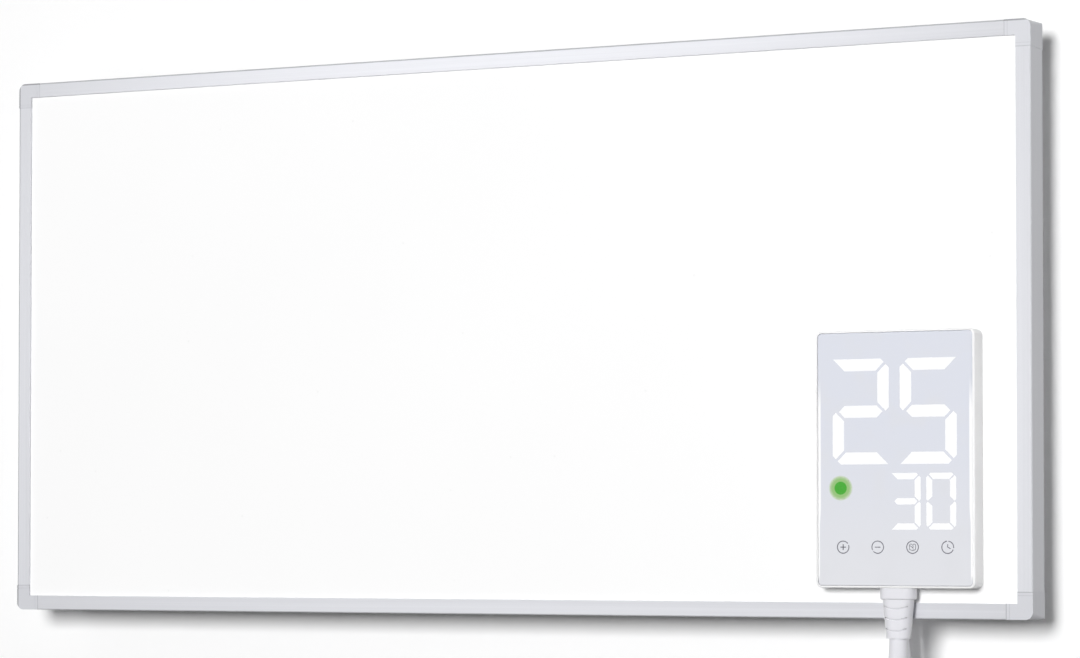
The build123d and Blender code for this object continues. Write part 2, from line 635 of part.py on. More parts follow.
def film_sheet(start_d):
    """A full sheet of film or foil."""
    return layer(FILM_WIDTH, FILM_HEIGHT, start_d, FILM)


def heating_film():
    """Carbon bands side by side, each bridging the two busbars."""
    band = (HEATER_WIDTH - (BAND_COUNT - 1) * BAND_GAP) / BAND_COUNT
    y_span = (depth(HEATING_FILM_D), depth(HEATING_FILM_D + FILM))
    bands = []
    for index in range(BAND_COUNT):
        left = -HEATER_WIDTH / 2 + index * (band + BAND_GAP)
        bands.append(block((left, left + band), y_span, around(0, HEATER_HEIGHT / 2)))
    return group(bands)


def busbar(side):
    """A copper strip across the ends of the bands; side is +1 for the upper one."""
    y_span = (depth(BUSBAR_D), depth(BUSBAR_D + BUSBAR))
    return block(around(0, HEATER_WIDTH / 2), y_span, around(side * BUSBAR_Z, BUSBAR_WIDTH / 2))


def busbar_joints():
    """Where the wires reach the upper and the lower busbar."""
    return ((CUTOUT_X, BUSBAR_Z), (WIRE_ENTRY_XS[1], -BUSBAR_Z))


def holed_sheet(start_d):
    """The rear film or the reflector foil, with a hole over each busbar joint."""
    sheet = film_sheet(start_d)
    for x, z in busbar_joints():
        sheet -= rod(x, z, WIRE_DIAMETER / 2 + WIRE_HOLE_GAP, past((depth(start_d), depth(start_d + FILM))))
    return sheet


def cutout_centres():
    """Heights of the lower and the upper thermal cutout."""
    return around(0, CUTOUT_SPACING / 2)


def thermal_cutout(z):
    """A thermal cutout that lies on the foil in its pocket."""
    y_span = (depth(BOARD_D), depth(BOARD_D + CUTOUT_THICKNESS))
    body = block(around(CUTOUT_X, CUTOUT_WIDTH / 2), y_span, around(z, CUTOUT_LENGTH / 2))
    return chamfer(body.edges().filter_by(Axis.Z), CUTOUT_CHAMFER)


def wire_routes():
    """The four insulated wires between the terminal box, the cutouts and the busbars."""
    (upper_x, upper_z), (lower_x, lower_z) = busbar_joints()
    box_y, wire_y, bar_y = BOX_FLOOR_Y + WIRE_RISE, depth(WIRE_D), depth(REAR_FILM_D)
    live_x = WIRE_ENTRY_XS[0]
    low_cutout, high_cutout = cutout_centres()
    half = CUTOUT_LENGTH / 2
    return (
        (
            (live_x, box_y, WIRE_ENTRY_Z),
            (live_x, wire_y, WIRE_ENTRY_Z),
            (CUTOUT_X, wire_y, WIRE_ENTRY_Z),
            (CUTOUT_X, wire_y, low_cutout - half),
        ),
        ((CUTOUT_X, wire_y, low_cutout + half), (CUTOUT_X, wire_y, high_cutout - half)),
        ((CUTOUT_X, wire_y, high_cutout + half), (upper_x, wire_y, upper_z), (upper_x, bar_y, upper_z)),
        (
            (lower_x, box_y, WIRE_ENTRY_Z),
            (lower_x, wire_y, WIRE_ENTRY_Z),
            (lower_x, wire_y, lower_z),
            (lower_x, bar_y, lower_z),
        ),
    )


def wire_bend(before, here, after):
    """The bend radius at a wire's corner, tighter beside a short run."""
    runs = [(Vector(*here) - Vector(*other)).length for other in (before, after)]
    return min(WIRE_BEND, WIRE_BEND_SHARE * min(runs))


def internal_wires():
    """The wires as round tubes with small bends."""
    wires = []
    for route in wire_routes():
        if len(route) == 2:
            wires.append(post(route[0][0], route[0][1], WIRE_DIAMETER / 2, (route[0][2], route[1][2])))
            continue
        radii = [wire_bend(*corner) for corner in zip(route, route[1:], route[2:])]
        wires.append(tube(route, radii, WIRE_DIAMETER)[0])
    return group(wires)


def insulation_board():
    """The mineral board behind the heater, with pockets for what is embedded in it."""
    inset = 2 * (FRAME_FACE + BOARD_MARGIN)
    board = layer(PANEL_WIDTH - inset, PANEL_HEIGHT - inset, BOARD_D, BOARD_END_D - BOARD_D)
    front_y, back_y = depth(BOARD_D), depth(BOARD_END_D)
    channel = (front_y - THROUGH, front_y + CUTOUT_THICKNESS)
    half_channel = WIRE_DIAMETER / 2 + WIRE_CHANNEL_GAP
    for z in cutout_centres():
        side, end = CUTOUT_WIDTH / 2 + POCKET_CLEARANCE, CUTOUT_LENGTH / 2 + POCKET_CLEARANCE
        board -= block(around(CUTOUT_X, side), channel, around(z, end))
    for route in wire_routes():
        for start, end in zip(route, route[1:]):
            x_span, z_span = [(min(start[i], end[i]), max(start[i], end[i])) for i in (0, 2)]
            wide = [past(span, half_channel, half_channel) for span in (x_span, z_span)]
            board -= block(wide[0], channel, wide[1])
        for x, _, z in route[1:-1]:
            board -= block(around(x, WIRE_BEND), channel, around(z, WIRE_BEND))
    for x in WIRE_ENTRY_XS:
        board -= rod(x, WIRE_ENTRY_Z, WIRE_BEND, past((front_y, back_y)))
    for x, z in rivet_places():
        tip_y = back_y - RIVET_BULB - RELIEF_POCKET_GAP
        board -= rod(x, z, RIVET_BULB_RADIUS + RELIEF_POCKET_GAP, (tip_y, back_y + THROUGH))
    for x, z in (*fixing_screw_places(), earth_place()):
        tip_y = back_y - FIXING_SCREW_LENGTH
        board -= rod(x, z, BOX_SCREW_RADIUS + RELIEF_POCKET_GAP, (tip_y, back_y + THROUGH))
    return board


def back_plate():
    """The back cover sheet, with holes for rivets, wires and screws."""
    sheet = cover_sheet(BACK_FACE_D - BACK_PLATE, BACK_PLATE)
    through = past((BACK_Y - BACK_PLATE, BACK_Y))
    for x, z in rivet_places():
        sheet -= rod(x, z, RIVET_RADIUS + RIVET_CLEARANCE, through)
    for x in WIRE_ENTRY_XS:
        sheet -= rod(x, WIRE_ENTRY_Z, WIRE_DIAMETER / 2 + WIRE_HOLE_GAP, through)
    for x, z in (*fixing_screw_places(), earth_place()):
        sheet -= rod(x, z, BOX_SCREW_RADIUS + SCREW_CLEARANCE, through)
    return sheet


# ---------------------------------------------------------------- wall rails and hanger rails
def bent_strip(points, thickness, x_span):
    """A bent sheet strip: the outline of its edge as (y, z) points, as wide as x_span."""
    face = make_face(Polyline(*[(x_span[0], y, z) for y, z in points], close=True))
    strip = extrude(face, x_span[1] - x_span[0], dir=(1, 0, 0))
    return fillet(strip.edges().filter_by(Axis.X), BEND_SHARE * thickness)


def wall_hook(x, floor_z):
    """A tongue bent out of the wall rail, with an upright lip whose upper corners are cut off."""
    steel = WALL_RAIL_STEEL
    root_y, lip_y = -steel / 2, -(steel + HOOK_GAP)
    top_z = floor_z + HOOK_HEIGHT
    outline = (
        (root_y, floor_z - steel),
        (root_y, floor_z),
        (lip_y, floor_z),
        (lip_y, top_z),
        (lip_y - steel, top_z),
        (lip_y - steel, floor_z - steel),
    )
    hook = bent_strip(outline, steel, around(x, HOOK_WIDTH / 2))
    for side in (-1, 1):
        edge_x = x + side * HOOK_WIDTH / 2
        inner = (edge_x - side * HOOK_TIP_CHAMFER, 0, top_z)
        below = (edge_x, 0, top_z - HOOK_TIP_CHAMFER)
        snip = make_face(Polyline((edge_x, 0, top_z), inner, below, close=True))
        hook -= extrude(snip, lip_y - steel - THROUGH, dir=(0, 1, 0))
    return hook


def wall_rail(x):
    """A vertical wall rail with two screw holes and two hooks lanced out of it."""
    steel = (-WALL_RAIL_STEEL, 0)
    rail = plate(WALL_RAIL_WIDTH, WALL_RAIL_HEIGHT, WALL_RAIL_CORNER, steel, x)
    for z in around(0, HOOK_FLOORS["upper"] - WALL_HOLE_GAP):
        rail -= rod(x, z, WALL_HOLE_RADIUS, past(steel))
    half_window = HOOK_WIDTH / 2 + HOOK_WINDOW_MARGIN
    for floor_z in HOOK_FLOORS.values():
        rail -= block(around(x, half_window), past(steel), (floor_z, floor_z + HOOK_WINDOW_HEIGHT))
        rail += wall_hook(x, floor_z)
    return rail


def hanger_web_z(floor_z):
    """The underside of a hanger rail's web above a hook's floor."""
    return floor_z + HOOK_HEIGHT + HANGER_OVER_HOOK


def rivet_z(floor_z):
    """Height of a hanger rail's rivets."""
    return hanger_web_z(floor_z) + (HANGER_STEEL + HANGER_FLANGE) / 2


def rivet_xs():
    """The rivets' places along a hanger rail."""
    first = -HANGER_LENGTH / 2 + RIVET_END_INSET
    pitch = -2 * first / (RIVET_COUNT - 1)
    return [first + index * pitch for index in range(RIVET_COUNT)]


def rivet_places():
    """Centres (x, z) of the rivets of both hanger rails."""
    return [(x, rivet_z(floor_z)) for floor_z in HOOK_FLOORS.values() for x in rivet_xs()]


def hanger_rail(floor_z):
    """A Z-shaped rail on the panel's back whose lip stands in the wall hooks."""
    steel = HANGER_STEEL
    web_z = hanger_web_z(floor_z)
    lip_y = -WALL_RAIL_STEEL - (HOOK_GAP - steel) / 2
    outline = (
        (BACK_Y, web_z),
        (lip_y - steel, web_z),
        (lip_y - steel, floor_z),
        (lip_y, floor_z),
        (lip_y, web_z + steel),
        (BACK_Y + steel, web_z + steel),
        (BACK_Y + steel, web_z + HANGER_FLANGE),
        (BACK_Y, web_z + HANGER_FLANGE),
    )
    rail = bent_strip(outline, steel, around(0, HANGER_LENGTH / 2))
    for x in rivet_xs():
        rail -= rod(x, rivet_z(floor_z), RIVET_RADIUS + RIVET_CLEARANCE, past((BACK_Y, BACK_Y + steel)))
    return rail


def hanger_rivets():
    """Blind rivets through the hanger rails and the back plate."""
    seat = BACK_Y + HANGER_STEEL
    inner = BACK_Y - BACK_PLATE
    profile = (
        (0, seat + RIVET_HEAD),
        (RIVET_HEAD_RADIUS / 2, seat + RIVET_HEAD),
        (RIVET_HEAD_RADIUS, seat),
        (RIVET_RADIUS, seat),
        (RIVET_RADIUS, inner),
        (RIVET_BULB_RADIUS, inner),
        (RIVET_BULB_RADIUS, inner - RIVET_BULB / 2),
        (0, inner - RIVET_BULB),
    )
    return group([turned(x, z, profile) for x, z in rivet_places()])


# ---------------------------------------------------------------- terminal box
def box_boss_places():
    """Centres (x, z) of the lid's four screws."""
    reach_x, reach_z = BOX_WIDTH / 2 - BOX_BOSS_INSET, BOX_HEIGHT / 2 - BOX_BOSS_INSET
    return [(x, z) for x in around(BOX_X, reach_x) for z in around(BOX_Z, reach_z)]


def fixing_screw_places():
    """Centres (x, z) of the screws that hold the box to the back plate."""
    return [(BOX_X + side * FIXING_SCREW_X, BOX_Z + side * FIXING_SCREW_Z) for side in (-1, 1)]


def earth_place():
    """Centre (x, z) of the earth screw."""
    return (BOX_X + EARTH_X, BOX_Z + EARTH_Z)


def entry_slot(x, half_width):
    """The cut in the box's lower wall that takes a bushing from the lid's side."""
    z_span = past((BOX_BOTTOM_Z, BOX_BOTTOM_Z + BOX_WALL))
    slot = block(around(x, half_width), (ENTRY_Y, BOX_REAR_Y + THROUGH), z_span)
    return slot + post(x, ENTRY_Y, half_width, z_span)


def terminal_box():
    """The open box with lid bosses, a wire passage in its floor and two entries in its lower wall."""
    box = plate(BOX_WIDTH, BOX_HEIGHT, BOX_CORNER, (BACK_Y, BOX_REAR_Y), BOX_X, BOX_Z)
    width, height = BOX_WIDTH - 2 * BOX_WALL, BOX_HEIGHT - 2 * BOX_WALL
    box -= plate(width, height, BOX_CORNER - BOX_WALL, (BOX_FLOOR_Y, BOX_REAR_Y + THROUGH), BOX_X, BOX_Z)
    for x, z in box_boss_places():
        box += rod(x, z, BOX_BOSS_RADIUS, (BOX_FLOOR_Y, BOX_REAR_Y))
        pilot = (BOX_REAR_Y - BOX_SCREW_LENGTH, BOX_REAR_Y + THROUGH)
        box -= rod(x, z, BOX_SCREW_RADIUS + SCREW_CLEARANCE, pilot)
    floor = past((BACK_Y, BOX_FLOOR_Y))
    for x, z in (*fixing_screw_places(), earth_place()):
        box -= rod(x, z, BOX_SCREW_RADIUS + SCREW_CLEARANCE, floor)
    for x in WIRE_ENTRY_XS:
        box -= rod(x, WIRE_ENTRY_Z, WIRE_DIAMETER / 2 + WIRE_HOLE_GAP, floor)
    box -= entry_slot(LEAD_ENTRY_X, REAR_NECK_RADIUS + CORD_CLEARANCE)
    box -= entry_slot(MAINS_ENTRY_X, GROMMET_NECK_RADIUS + CORD_CLEARANCE)
    return box


def entry_tab(x, neck_radius):
    """The tongue of the lid that closes an entry slot down to the bushing."""
    z_span = (BOX_BOTTOM_Z, BOX_BOTTOM_Z + BOX_WALL)
    tab = block(around(x, neck_radius), (ENTRY_Y + ENTRY_TAB_START, BOX_REAR_Y), z_span)
    return tab - post(x, ENTRY_Y, neck_radius + CORD_CLEARANCE, past(z_span))


def terminal_box_lid():
    """The lid, with a tongue over each entry and counterbored screw holes."""
    lid_face = BOX_REAR_Y + BOX_LID
    lid = plate(BOX_WIDTH, BOX_HEIGHT, BOX_CORNER, (BOX_REAR_Y, lid_face), BOX_X, BOX_Z)
    lid = chamfer(lid.faces().sort_by(Axis.Y)[-1].edges(), BOX_LID_CHAMFER)
    lid += entry_tab(LEAD_ENTRY_X, REAR_NECK_RADIUS)
    lid += entry_tab(MAINS_ENTRY_X, GROMMET_NECK_RADIUS)
    for x, z in box_boss_places():
        lid -= rod(x, z, BOX_SCREW_RADIUS + SCREW_CLEARANCE, past((BOX_REAR_Y, lid_face)))
        sink = (lid_face - BOX_SCREW_HEAD, lid_face + THROUGH)
        lid -= rod(x, z, BOX_SCREW_HEAD_RADIUS + SCREW_CLEARANCE, sink)
    return lid


def box_screw(x, z, y_head, length):
    """One screw of the terminal box."""
    return screw(x, z, y_head, BOX_SCREW_RADIUS, BOX_SCREW_HEAD_RADIUS, BOX_SCREW_HEAD, length)


def terminal_box_lid_screws():
    """The four lid screws."""
    y_head = BOX_REAR_Y + BOX_LID
    length = BOX_SCREW_LENGTH + BOX_LID - BOX_SCREW_HEAD - BOX_SCREW_TIP_GAP
    return group([box_screw(x, z, y_head, length) for x, z in box_boss_places()])


def terminal_box_fixing_screws():
    """The two screws from the box's floor into the back plate."""
    y_head = BOX_FLOOR_Y + BOX_SCREW_HEAD
    return group([box_screw(x, z, y_head, FIXING_SCREW_LENGTH) for x, z in fixing_screw_places()])


def pole_xs():
    """The poles' places along the terminal block."""
    pitch = BLOCK_WIDTH / BLOCK_POLES
    return [BOX_X + (index - (BLOCK_POLES - 1) / 2) * pitch for index in range(BLOCK_POLES)]


def terminal_block():
    """A three-pole terminal block with wire mouths below and screw wells on its back."""
    top_y = BOX_FLOOR_Y + BLOCK_DEPTH
    z_span = around(BLOCK_Z, BLOCK_HEIGHT / 2)
    body = block(around(BOX_X, BLOCK_WIDTH / 2), (BOX_FLOOR_Y, top_y), z_span)
    well = (top_y - BLOCK_WELL_DEPTH, top_y + THROUGH)
    mouth = (z_span[0] - THROUGH, z_span[0] + BLOCK_MOUTH_DEPTH)
    for x in pole_xs():
        body -= rod(x, BLOCK_Z + BLOCK_WELL_RISE, BLOCK_WELL_RADIUS, well)
        body -= post(x, BOX_FLOOR_Y + BLOCK_DEPTH / 2, BLOCK_MOUTH_RADIUS, mouth)
    for left, right in zip(pole_xs(), pole_xs()[1:]):
        groove = (top_y - BLOCK_GROOVE_DEPTH, top_y + THROUGH)
        body -= block(around((left + right) / 2, BLOCK_GROOVE_WIDTH / 2), groove, past(z_span))
    return body


def terminal_block_screws():
    """The clamping screws in the block's wells."""
    well_y = BOX_FLOOR_Y + BLOCK_DEPTH - BLOCK_WELL_DEPTH
    radius = BLOCK_WELL_RADIUS - SCREW_CLEARANCE
    z = BLOCK_Z + BLOCK_WELL_RISE
    head_y = well_y + BLOCK_SCREW_HEIGHT
    screws = []
    for x in pole_xs():
        drive = (head_y - 2 * SCREW_SLOT_DEPTH, head_y + THROUGH)
        slot = block(around(x, radius), drive, around(z, SCREW_SLOT_WIDTH))
        screws.append(rod(x, z, radius, (well_y, head_y)) - slot)
    return group(screws)


def earth_terminal():
    """The earth ring tag under its screw on the box's floor."""
    x, z = earth_place()
    tag_y = (BOX_FLOOR_Y, BOX_FLOOR_Y + EARTH_TAG)
    tag = rod(x, z, EARTH_TAG_RADIUS, tag_y)
    tag += block(around(x, EARTH_TAG_RADIUS / 2), tag_y, (z, z + EARTH_TAG_LENGTH))
    barrel = (z + EARTH_BARREL_START, z + EARTH_BARREL_START + EARTH_BARREL_LENGTH)
    tag += post(x, BOX_FLOOR_Y + EARTH_BARREL_RADIUS, EARTH_BARREL_RADIUS, barrel)
    tag -= rod(x, z, BOX_SCREW_RADIUS + SCREW_CLEARANCE, past(tag_y))
    return group([tag, box_screw(x, z, tag_y[1] + BOX_SCREW_HEAD, FIXING_SCREW_LENGTH)])


def mains_grommet():
    """The rubber grommet of the mains entry, with the bore for the supply cord."""
    low, high = BOX_BOTTOM_Z, BOX_BOTTOM_Z + BOX_WALL
    whole = (low - GROMMET_FLANGE, high + GROMMET_FLANGE)
    body = post(MAINS_ENTRY_X, ENTRY_Y, GROMMET_RADIUS, (whole[0], low))
    body += post(MAINS_ENTRY_X, ENTRY_Y, GROMMET_NECK_RADIUS, (low, high))
    body += post(MAINS_ENTRY_X, ENTRY_Y, GROMMET_RADIUS, (high, whole[1]))
    return body - post(MAINS_ENTRY_X, ENTRY_Y, GROMMET_BORE_RADIUS, past(whole))


def clamp_screw_xs():
    """X positions of the mains cord clamp's two screws."""
    return around(MAINS_ENTRY_X, (CLAMP_SPAN - CLAMP_BAR) / 2)


def clamp_z():
    """Height of the mains cord clamp's middle."""
    return BOX_BOTTOM_Z + BOX_WALL + GROMMET_FLANGE + CLAMP_BAR


def clamp_bar_y():
    """Front and back of the clamp's bar behind the supply cord."""
    front = ENTRY_Y + GROMMET_BORE_RADIUS / 2
    return (front, front + CLAMP_BAR_DEPTH)


def mains_cord_clamp():
    """The saddle over the supply cord on two pillars."""
    z, bar_y = clamp_z(), clamp_bar_y()
    z_span = around(z, CLAMP_BAR / 2)
    clamp = block(around(MAINS_ENTRY_X, CLAMP_SPAN / 2), bar_y, z_span)
    clamp -= post(MAINS_ENTRY_X, ENTRY_Y, GROMMET_BORE_RADIUS + CLAMP_GRIP_GAP, past(z_span))
    for x in clamp_screw_xs():
        clamp += rod(x, z, CLAMP_BAR / 2, (BOX_FLOOR_Y, bar_y[0]))
        pilot = (BOX_FLOOR_Y + CLAMP_PILOT_FLOOR, bar_y[1] + THROUGH)
        clamp -= rod(x, z, BOX_SCREW_RADIUS + SCREW_CLEARANCE, pilot)
    return clamp


def mains_clamp_screws():
    """The two screws of the cord clamp."""
    seat_y = clamp_bar_y()[1]
    length = seat_y - BOX_FLOOR_Y - CLAMP_PILOT_FLOOR - BOX_SCREW_TIP_GAP
    return group([box_screw(x, clamp_z(), seat_y + BOX_SCREW_HEAD, length) for x in clamp_screw_xs()])


# ---------------------------------------------------------------- strain reliefs and lead
def round_sided(width, height):
    """A rectangle with nearly half-round sides."""
    return RectangleRounded(width, height, RELIEF_ROUND_SHARE * min(width, height))


def grip_band(x, y, half, side_z, reach):
    """A drooping band right across a relief, which cuts one grip groove."""
    middle_z = side_z - GRIP_DROP
    upper, lower = [
        ThreePointArc((x - half, y, side_z - low), (x, y, middle_z - low), (x + half, y, side_z - low))
        for low in (0, GRIP_WIDTH)
    ]
    ends = [Line(upper @ 0, lower @ 0), Line(upper @ 1, lower @ 1)]
    return extrude(make_face([upper, lower, *ends]), reach, both=True)


def taper_wedge(x, y, width, z_span, inset=0.0):
    """The tapered part of a relief, as deep at its end as at its collar, with round sides."""
    top, end = width / 2 - inset, CORD_DIAMETER / 2 + RELIEF_END_WALL - inset
    corners = [(-top, z_span[1]), (top, z_span[1]), (end, z_span[0]), (-end, z_span[0])]
    face = make_face(Polyline(*[(x + aside, y, z) for aside, z in corners], close=True))
    half = COLLAR_DEPTH / 2 - inset
    wedge = extrude(face, half, dir=(0, 1, 0), both=True)
    flanks = wedge.edges().filter_by(Axis.Y, reverse=True).filter_by(Axis.X, reverse=True)
    return fillet(flanks, 2 * RELIEF_ROUND_SHARE * half)


def tapered_relief(x, y, top_z, collar, collar_height, taper_width, taper_height, grip_count):
    """A strain relief outside its wall: a collar and a grooved taper with a seat for the lead."""
    taper_z = top_z - collar_height
    z_span = (taper_z - taper_height, taper_z)
    body = extrude(level(x, y, top_z) * round_sided(*collar), collar_height)
    body = fillet(body.faces().sort_by(Axis.Z)[0].edges(), COLLAR_FILLET)
    body += taper_wedge(x, y, taper_width, z_span)
    core = taper_wedge(x, y, taper_width, z_span, GRIP_DEPTH)
    narrowing = (taper_width - CORD_DIAMETER - 2 * RELIEF_END_WALL) / taper_height
    for index in range(grip_count):
        below = GRIP_START + index * GRIP_PITCH
        half = GRIP_SHARE * (taper_width - narrowing * below) / 2
        body -= grip_band(x, y, half, taper_z - below + GRIP_DROP / 2, collar[1]) - core
    return body - post(x, y, CORD_DIAMETER / 2 + CORD_CLEARANCE, (z_span[0] - THROUGH, z_span[0] + CORD_SEAT))


def controller_strain_relief():
    """The relief below the controller, with a neck in the wall slot and a flange inside."""
    x, y, top_z = CONTROLLER_X, LEAD_Y, CONTROLLER_BOTTOM_Z
    collar = (COLLAR_WIDTH, COLLAR_DEPTH)
    body = tapered_relief(x, y, top_z, collar, COLLAR_HEIGHT, TAPER_WIDTH, TAPER_HEIGHT, GRIP_COUNT)
    wall_top = top_z + CONTROLLER_WALL
    neck_y = (y - NECK_FRONT, NECK_BACK_Y)
    body += block(around(x, NECK_WIDTH / 2), neck_y, (top_z, wall_top))
    return body + block(around(x, INNER_FLANGE_WIDTH / 2), neck_y, (wall_top, wall_top + INNER_FLANGE))


def rear_strain_relief():
    """The relief at the terminal box's lead entry."""
    x, y, top_z = LEAD_ENTRY_X, ENTRY_Y, BOX_BOTTOM_Z
    collar = (REAR_COLLAR_WIDTH, REAR_COLLAR_DEPTH)
    width = REAR_COLLAR_WIDTH - 2 * REAR_TAPER_STEP
    body = tapered_relief(x, y, top_z, collar, REAR_COLLAR_HEIGHT, width, REAR_TAPER_HEIGHT, REAR_GRIP_COUNT)
    wall_top = top_z + BOX_WALL
    body += post(x, y, REAR_NECK_RADIUS, (top_z, wall_top))
    return body + extrude(level(x, y, wall_top + INNER_FLANGE) * round_sided(*collar), INNER_FLANGE)


def lead_route():
    """The lead's points, from its seat below the controller round the loop to the one below the box."""
    middle_x = (CONTROLLER_X + LEAD_ENTRY_X) / 2
    loop = [(middle_x + right, LEAD_Y + share * (ENTRY_Y - LEAD_Y), z) for right, share, z in LEAD_LOOP]
    front = [(CONTROLLER_X, LEAD_Y, z) for z in (RELIEF_END_Z + CORD_SEAT, LEAD_FRONT_TURN_Z)]
    rear = [(LEAD_ENTRY_X, ENTRY_Y, z) for z in (LEAD_REAR_TURN_Z, REAR_RELIEF_END_Z + CORD_SEAT)]
    return [*front, *loop, *rear]


def controller_lead():
    """The free lead between the two strain reliefs."""
    route = lead_route()
    radii = bend_radii(route)
    lead, length = tube(route, radii, CORD_DIAMETER)
    print("lead arc radii", [round(radius, 1) for radius in radii], "length", round(length, 1))
    section = math.pi * CORD_DIAMETER**2 / 4
    print("lead volume", round(lead.volume), "section x length", round(section * length))
    return lead


# ---------------------------------------------------------------- controller
def face_place(x, z, t):
    """The upright plane at a point given from the middle of the controller's face and a depth t."""
    return upright(CONTROLLER_X + x, CONTROLLER_FRONT_Y + t, CONTROLLER_Z + z)


def face_plate(width, height, radius, t_span, x=0.0, z=0.0):
    """A plate in the controller, given by depths behind its face."""
    outline = face_place(x, z, t_span[1]) * RectangleRounded(width, height, radius)
    return extrude(outline, t_span[1] - t_span[0])


def face_rod(x, z, radius, t_span):
    """A cylinder in the controller along Y."""
    return extrude(face_place(x, z, t_span[1]) * Circle(radius), t_span[1] - t_span[0])


def boss_places():
    """Centres (x, z) of the controller's four screw bosses."""
    reach_x, reach_z = CONTROLLER_WIDTH / 2 - BOSS_INSET, CONTROLLER_HEIGHT / 2 - BOSS_INSET
    return [(x, z) for x in around(0, reach_x) for z in around(0, reach_z)]


def inner_plate(inset, t_span):
    """A plate as large as the controller's outline less an inset all round."""
    width, height = CONTROLLER_WIDTH - 2 * inset, CONTROLLER_HEIGHT - 2 * inset
    return face_plate(width, height, CONTROLLER_RADIUS - inset, t_span)


def controller_housing():
    """The moulded front shell: rim, glass ledge, walls, screw bosses, vents and the relief's slot."""
    shell = inner_plate(0, (0, CONTROLLER_THICKNESS))
    shell = fillet(shell.faces().sort_by(Axis.Y)[0].edges(), RIM_EDGE_RADIUS)
    shell -= inner_plate(CONTROLLER_RIM, (-THROUGH, GLASS_BACK_T))
    window = (GLASS_WIDTH - 2 * GLASS_LEDGE, GLASS_HEIGHT - 2 * GLASS_LEDGE)
    shell -= face_plate(*window, WINDOW_RADIUS, (0, LEDGE_BACK_T + THROUGH))
    shell -= inner_plate(CONTROLLER_WALL, (LEDGE_BACK_T, COVER_T + THROUGH))
    shell -= inner_plate(COVER_LIP, (COVER_T, CONTROLLER_THICKNESS + THROUGH))
    for x, z in boss_places():
        shell += face_rod(x, z, BOSS_RADIUS, (LEDGE_BACK_T - LEDGE_THICKNESS / 2, COVER_T))
        pilot = COVER_T - COVER_SCREW_LENGTH - BOSS_PILOT_EXTRA
        shell -= face_rod(x, z, BOSS_PILOT_RADIUS, (pilot, COVER_T + THROUGH))
    bottom = past((CONTROLLER_BOTTOM_Z, CONTROLLER_BOTTOM_Z + CONTROLLER_WALL))
    slot_y = (LEAD_Y - NECK_FRONT - CORD_CLEARANCE, CONTROLLER_FRONT_Y + CONTROLLER_THICKNESS + THROUGH)
    shell -= block(around(CONTROLLER_X, NECK_WIDTH / 2 + CORD_CLEARANCE), slot_y, bottom)
    vent_y = CONTROLLER_FRONT_Y + BOARD_BACK_T + VENT_BOARD_GAP
    for index in range(VENT_COUNT):
        x = CONTROLLER_X + SENSOR_X + (index - (VENT_COUNT - 1) / 2) * VENT_PITCH
        shell -= block(around(x, VENT_WIDTH / 2), (vent_y, vent_y + VENT_LENGTH), bottom)
    return shell


def segment_outline(letter, lit, row):
    """The corner points of one digit segment, about the digit's middle."""
    half_w, half_h = row["width"] / 2, row["height"] / 2
    stroke, clip = row["stroke"], row["clip"]
    gap = row["gap"] / math.sqrt(2)
    waist = MITRE_SHARE * stroke

    def corner_end(neighbour):
        """(across, along) points of an end at a digit's corner, from its inner to its outer side."""
        if neighbour in lit:
            return [(stroke, stroke + gap), (clip, clip + gap), (0, 2 * clip + gap)]
        return [(stroke, stroke + SHARP_END_GAP), (0, SHARP_END_GAP)]

    if letter == "g":
        tip = half_w - waist - gap
        end = [(tip - stroke / 2, stroke / 2), (tip, 0), (tip - stroke / 2, -stroke / 2)]
        return end + [(-x, -z) for x, z in end]
    if letter in "ad":
        left, right = ("f", "b") if letter == "a" else ("e", "c")
        start = [(-half_w + along, half_h - across) for across, along in corner_end(left)]
        finish = [(half_w - along, half_h - across) for across, along in reversed(corner_end(right))]
        flip = 1 if letter == "a" else -1
        return [(x, flip * z) for x, z in start + finish]
    neighbour = "a" if letter in "bf" else "d"
    start = [(half_w - across, half_h - along) for across, along in corner_end(neighbour)]
    finish = [
        (half_w, 2 * clip - waist + gap),
        (half_w - clip, clip - waist + gap),
        (half_w - stroke, stroke - waist + gap),
    ]
    flip_x = -1 if letter in "ef" else 1
    flip_z = -1 if letter in "ce" else 1
    return [(flip_x * x, flip_z * z) for x, z in start + finish]


def digit_segments(x, letters, lit, row, t_span):
    """The named segments of one digit as prisms."""
    prisms = []
    for letter in letters:
        outline = make_face(Polyline(*segment_outline(letter, lit, row), close=True))
        prisms.append(extrude(face_place(x, row["z"], t_span[1]) * outline, t_span[1] - t_span[0]))
    return prisms


def digit_places(row):
    """Each digit of a row with its middle; the row ends at its right edge."""
    digits = row["digits"]
    last_x = row["right"] - row["width"] / 2
    return [(last_x - (len(digits) - 1 - index) * row["pitch"], digit) for index, digit in enumerate(digits)]


def digit_inlays(row):
    """The lit segments of a row of digits, flush with the glass."""
    inlays = []
    for x, digit in digit_places(row):
        lit = LIT_SEGMENTS[digit]
        inlays += digit_segments(x, lit, lit, row, (GLASS_T, GLASS_T + INLAY))
    return inlays


def indicator_lens():
    """The round pilot light, flush with the glass."""
    return face_rod(PILOT_X, PILOT_Z, PILOT_RADIUS, (GLASS_T, GLASS_T + INLAY))


def controller_glass():
    """The touch glass with a rounded edge and shallow beds for the inlays."""
    radius = CONTROLLER_RADIUS - CONTROLLER_RIM - GLASS_CLEARANCE
    glass = face_plate(GLASS_WIDTH, GLASS_HEIGHT, radius, (GLASS_T, GLASS_BACK_T))
    glass = fillet(glass.faces().sort_by(Axis.Y)[0].edges(), GLASS_EDGE_RADIUS)
    return glass - digit_inlays(LARGE_ROW) - digit_inlays(SMALL_ROW) - indicator_lens()


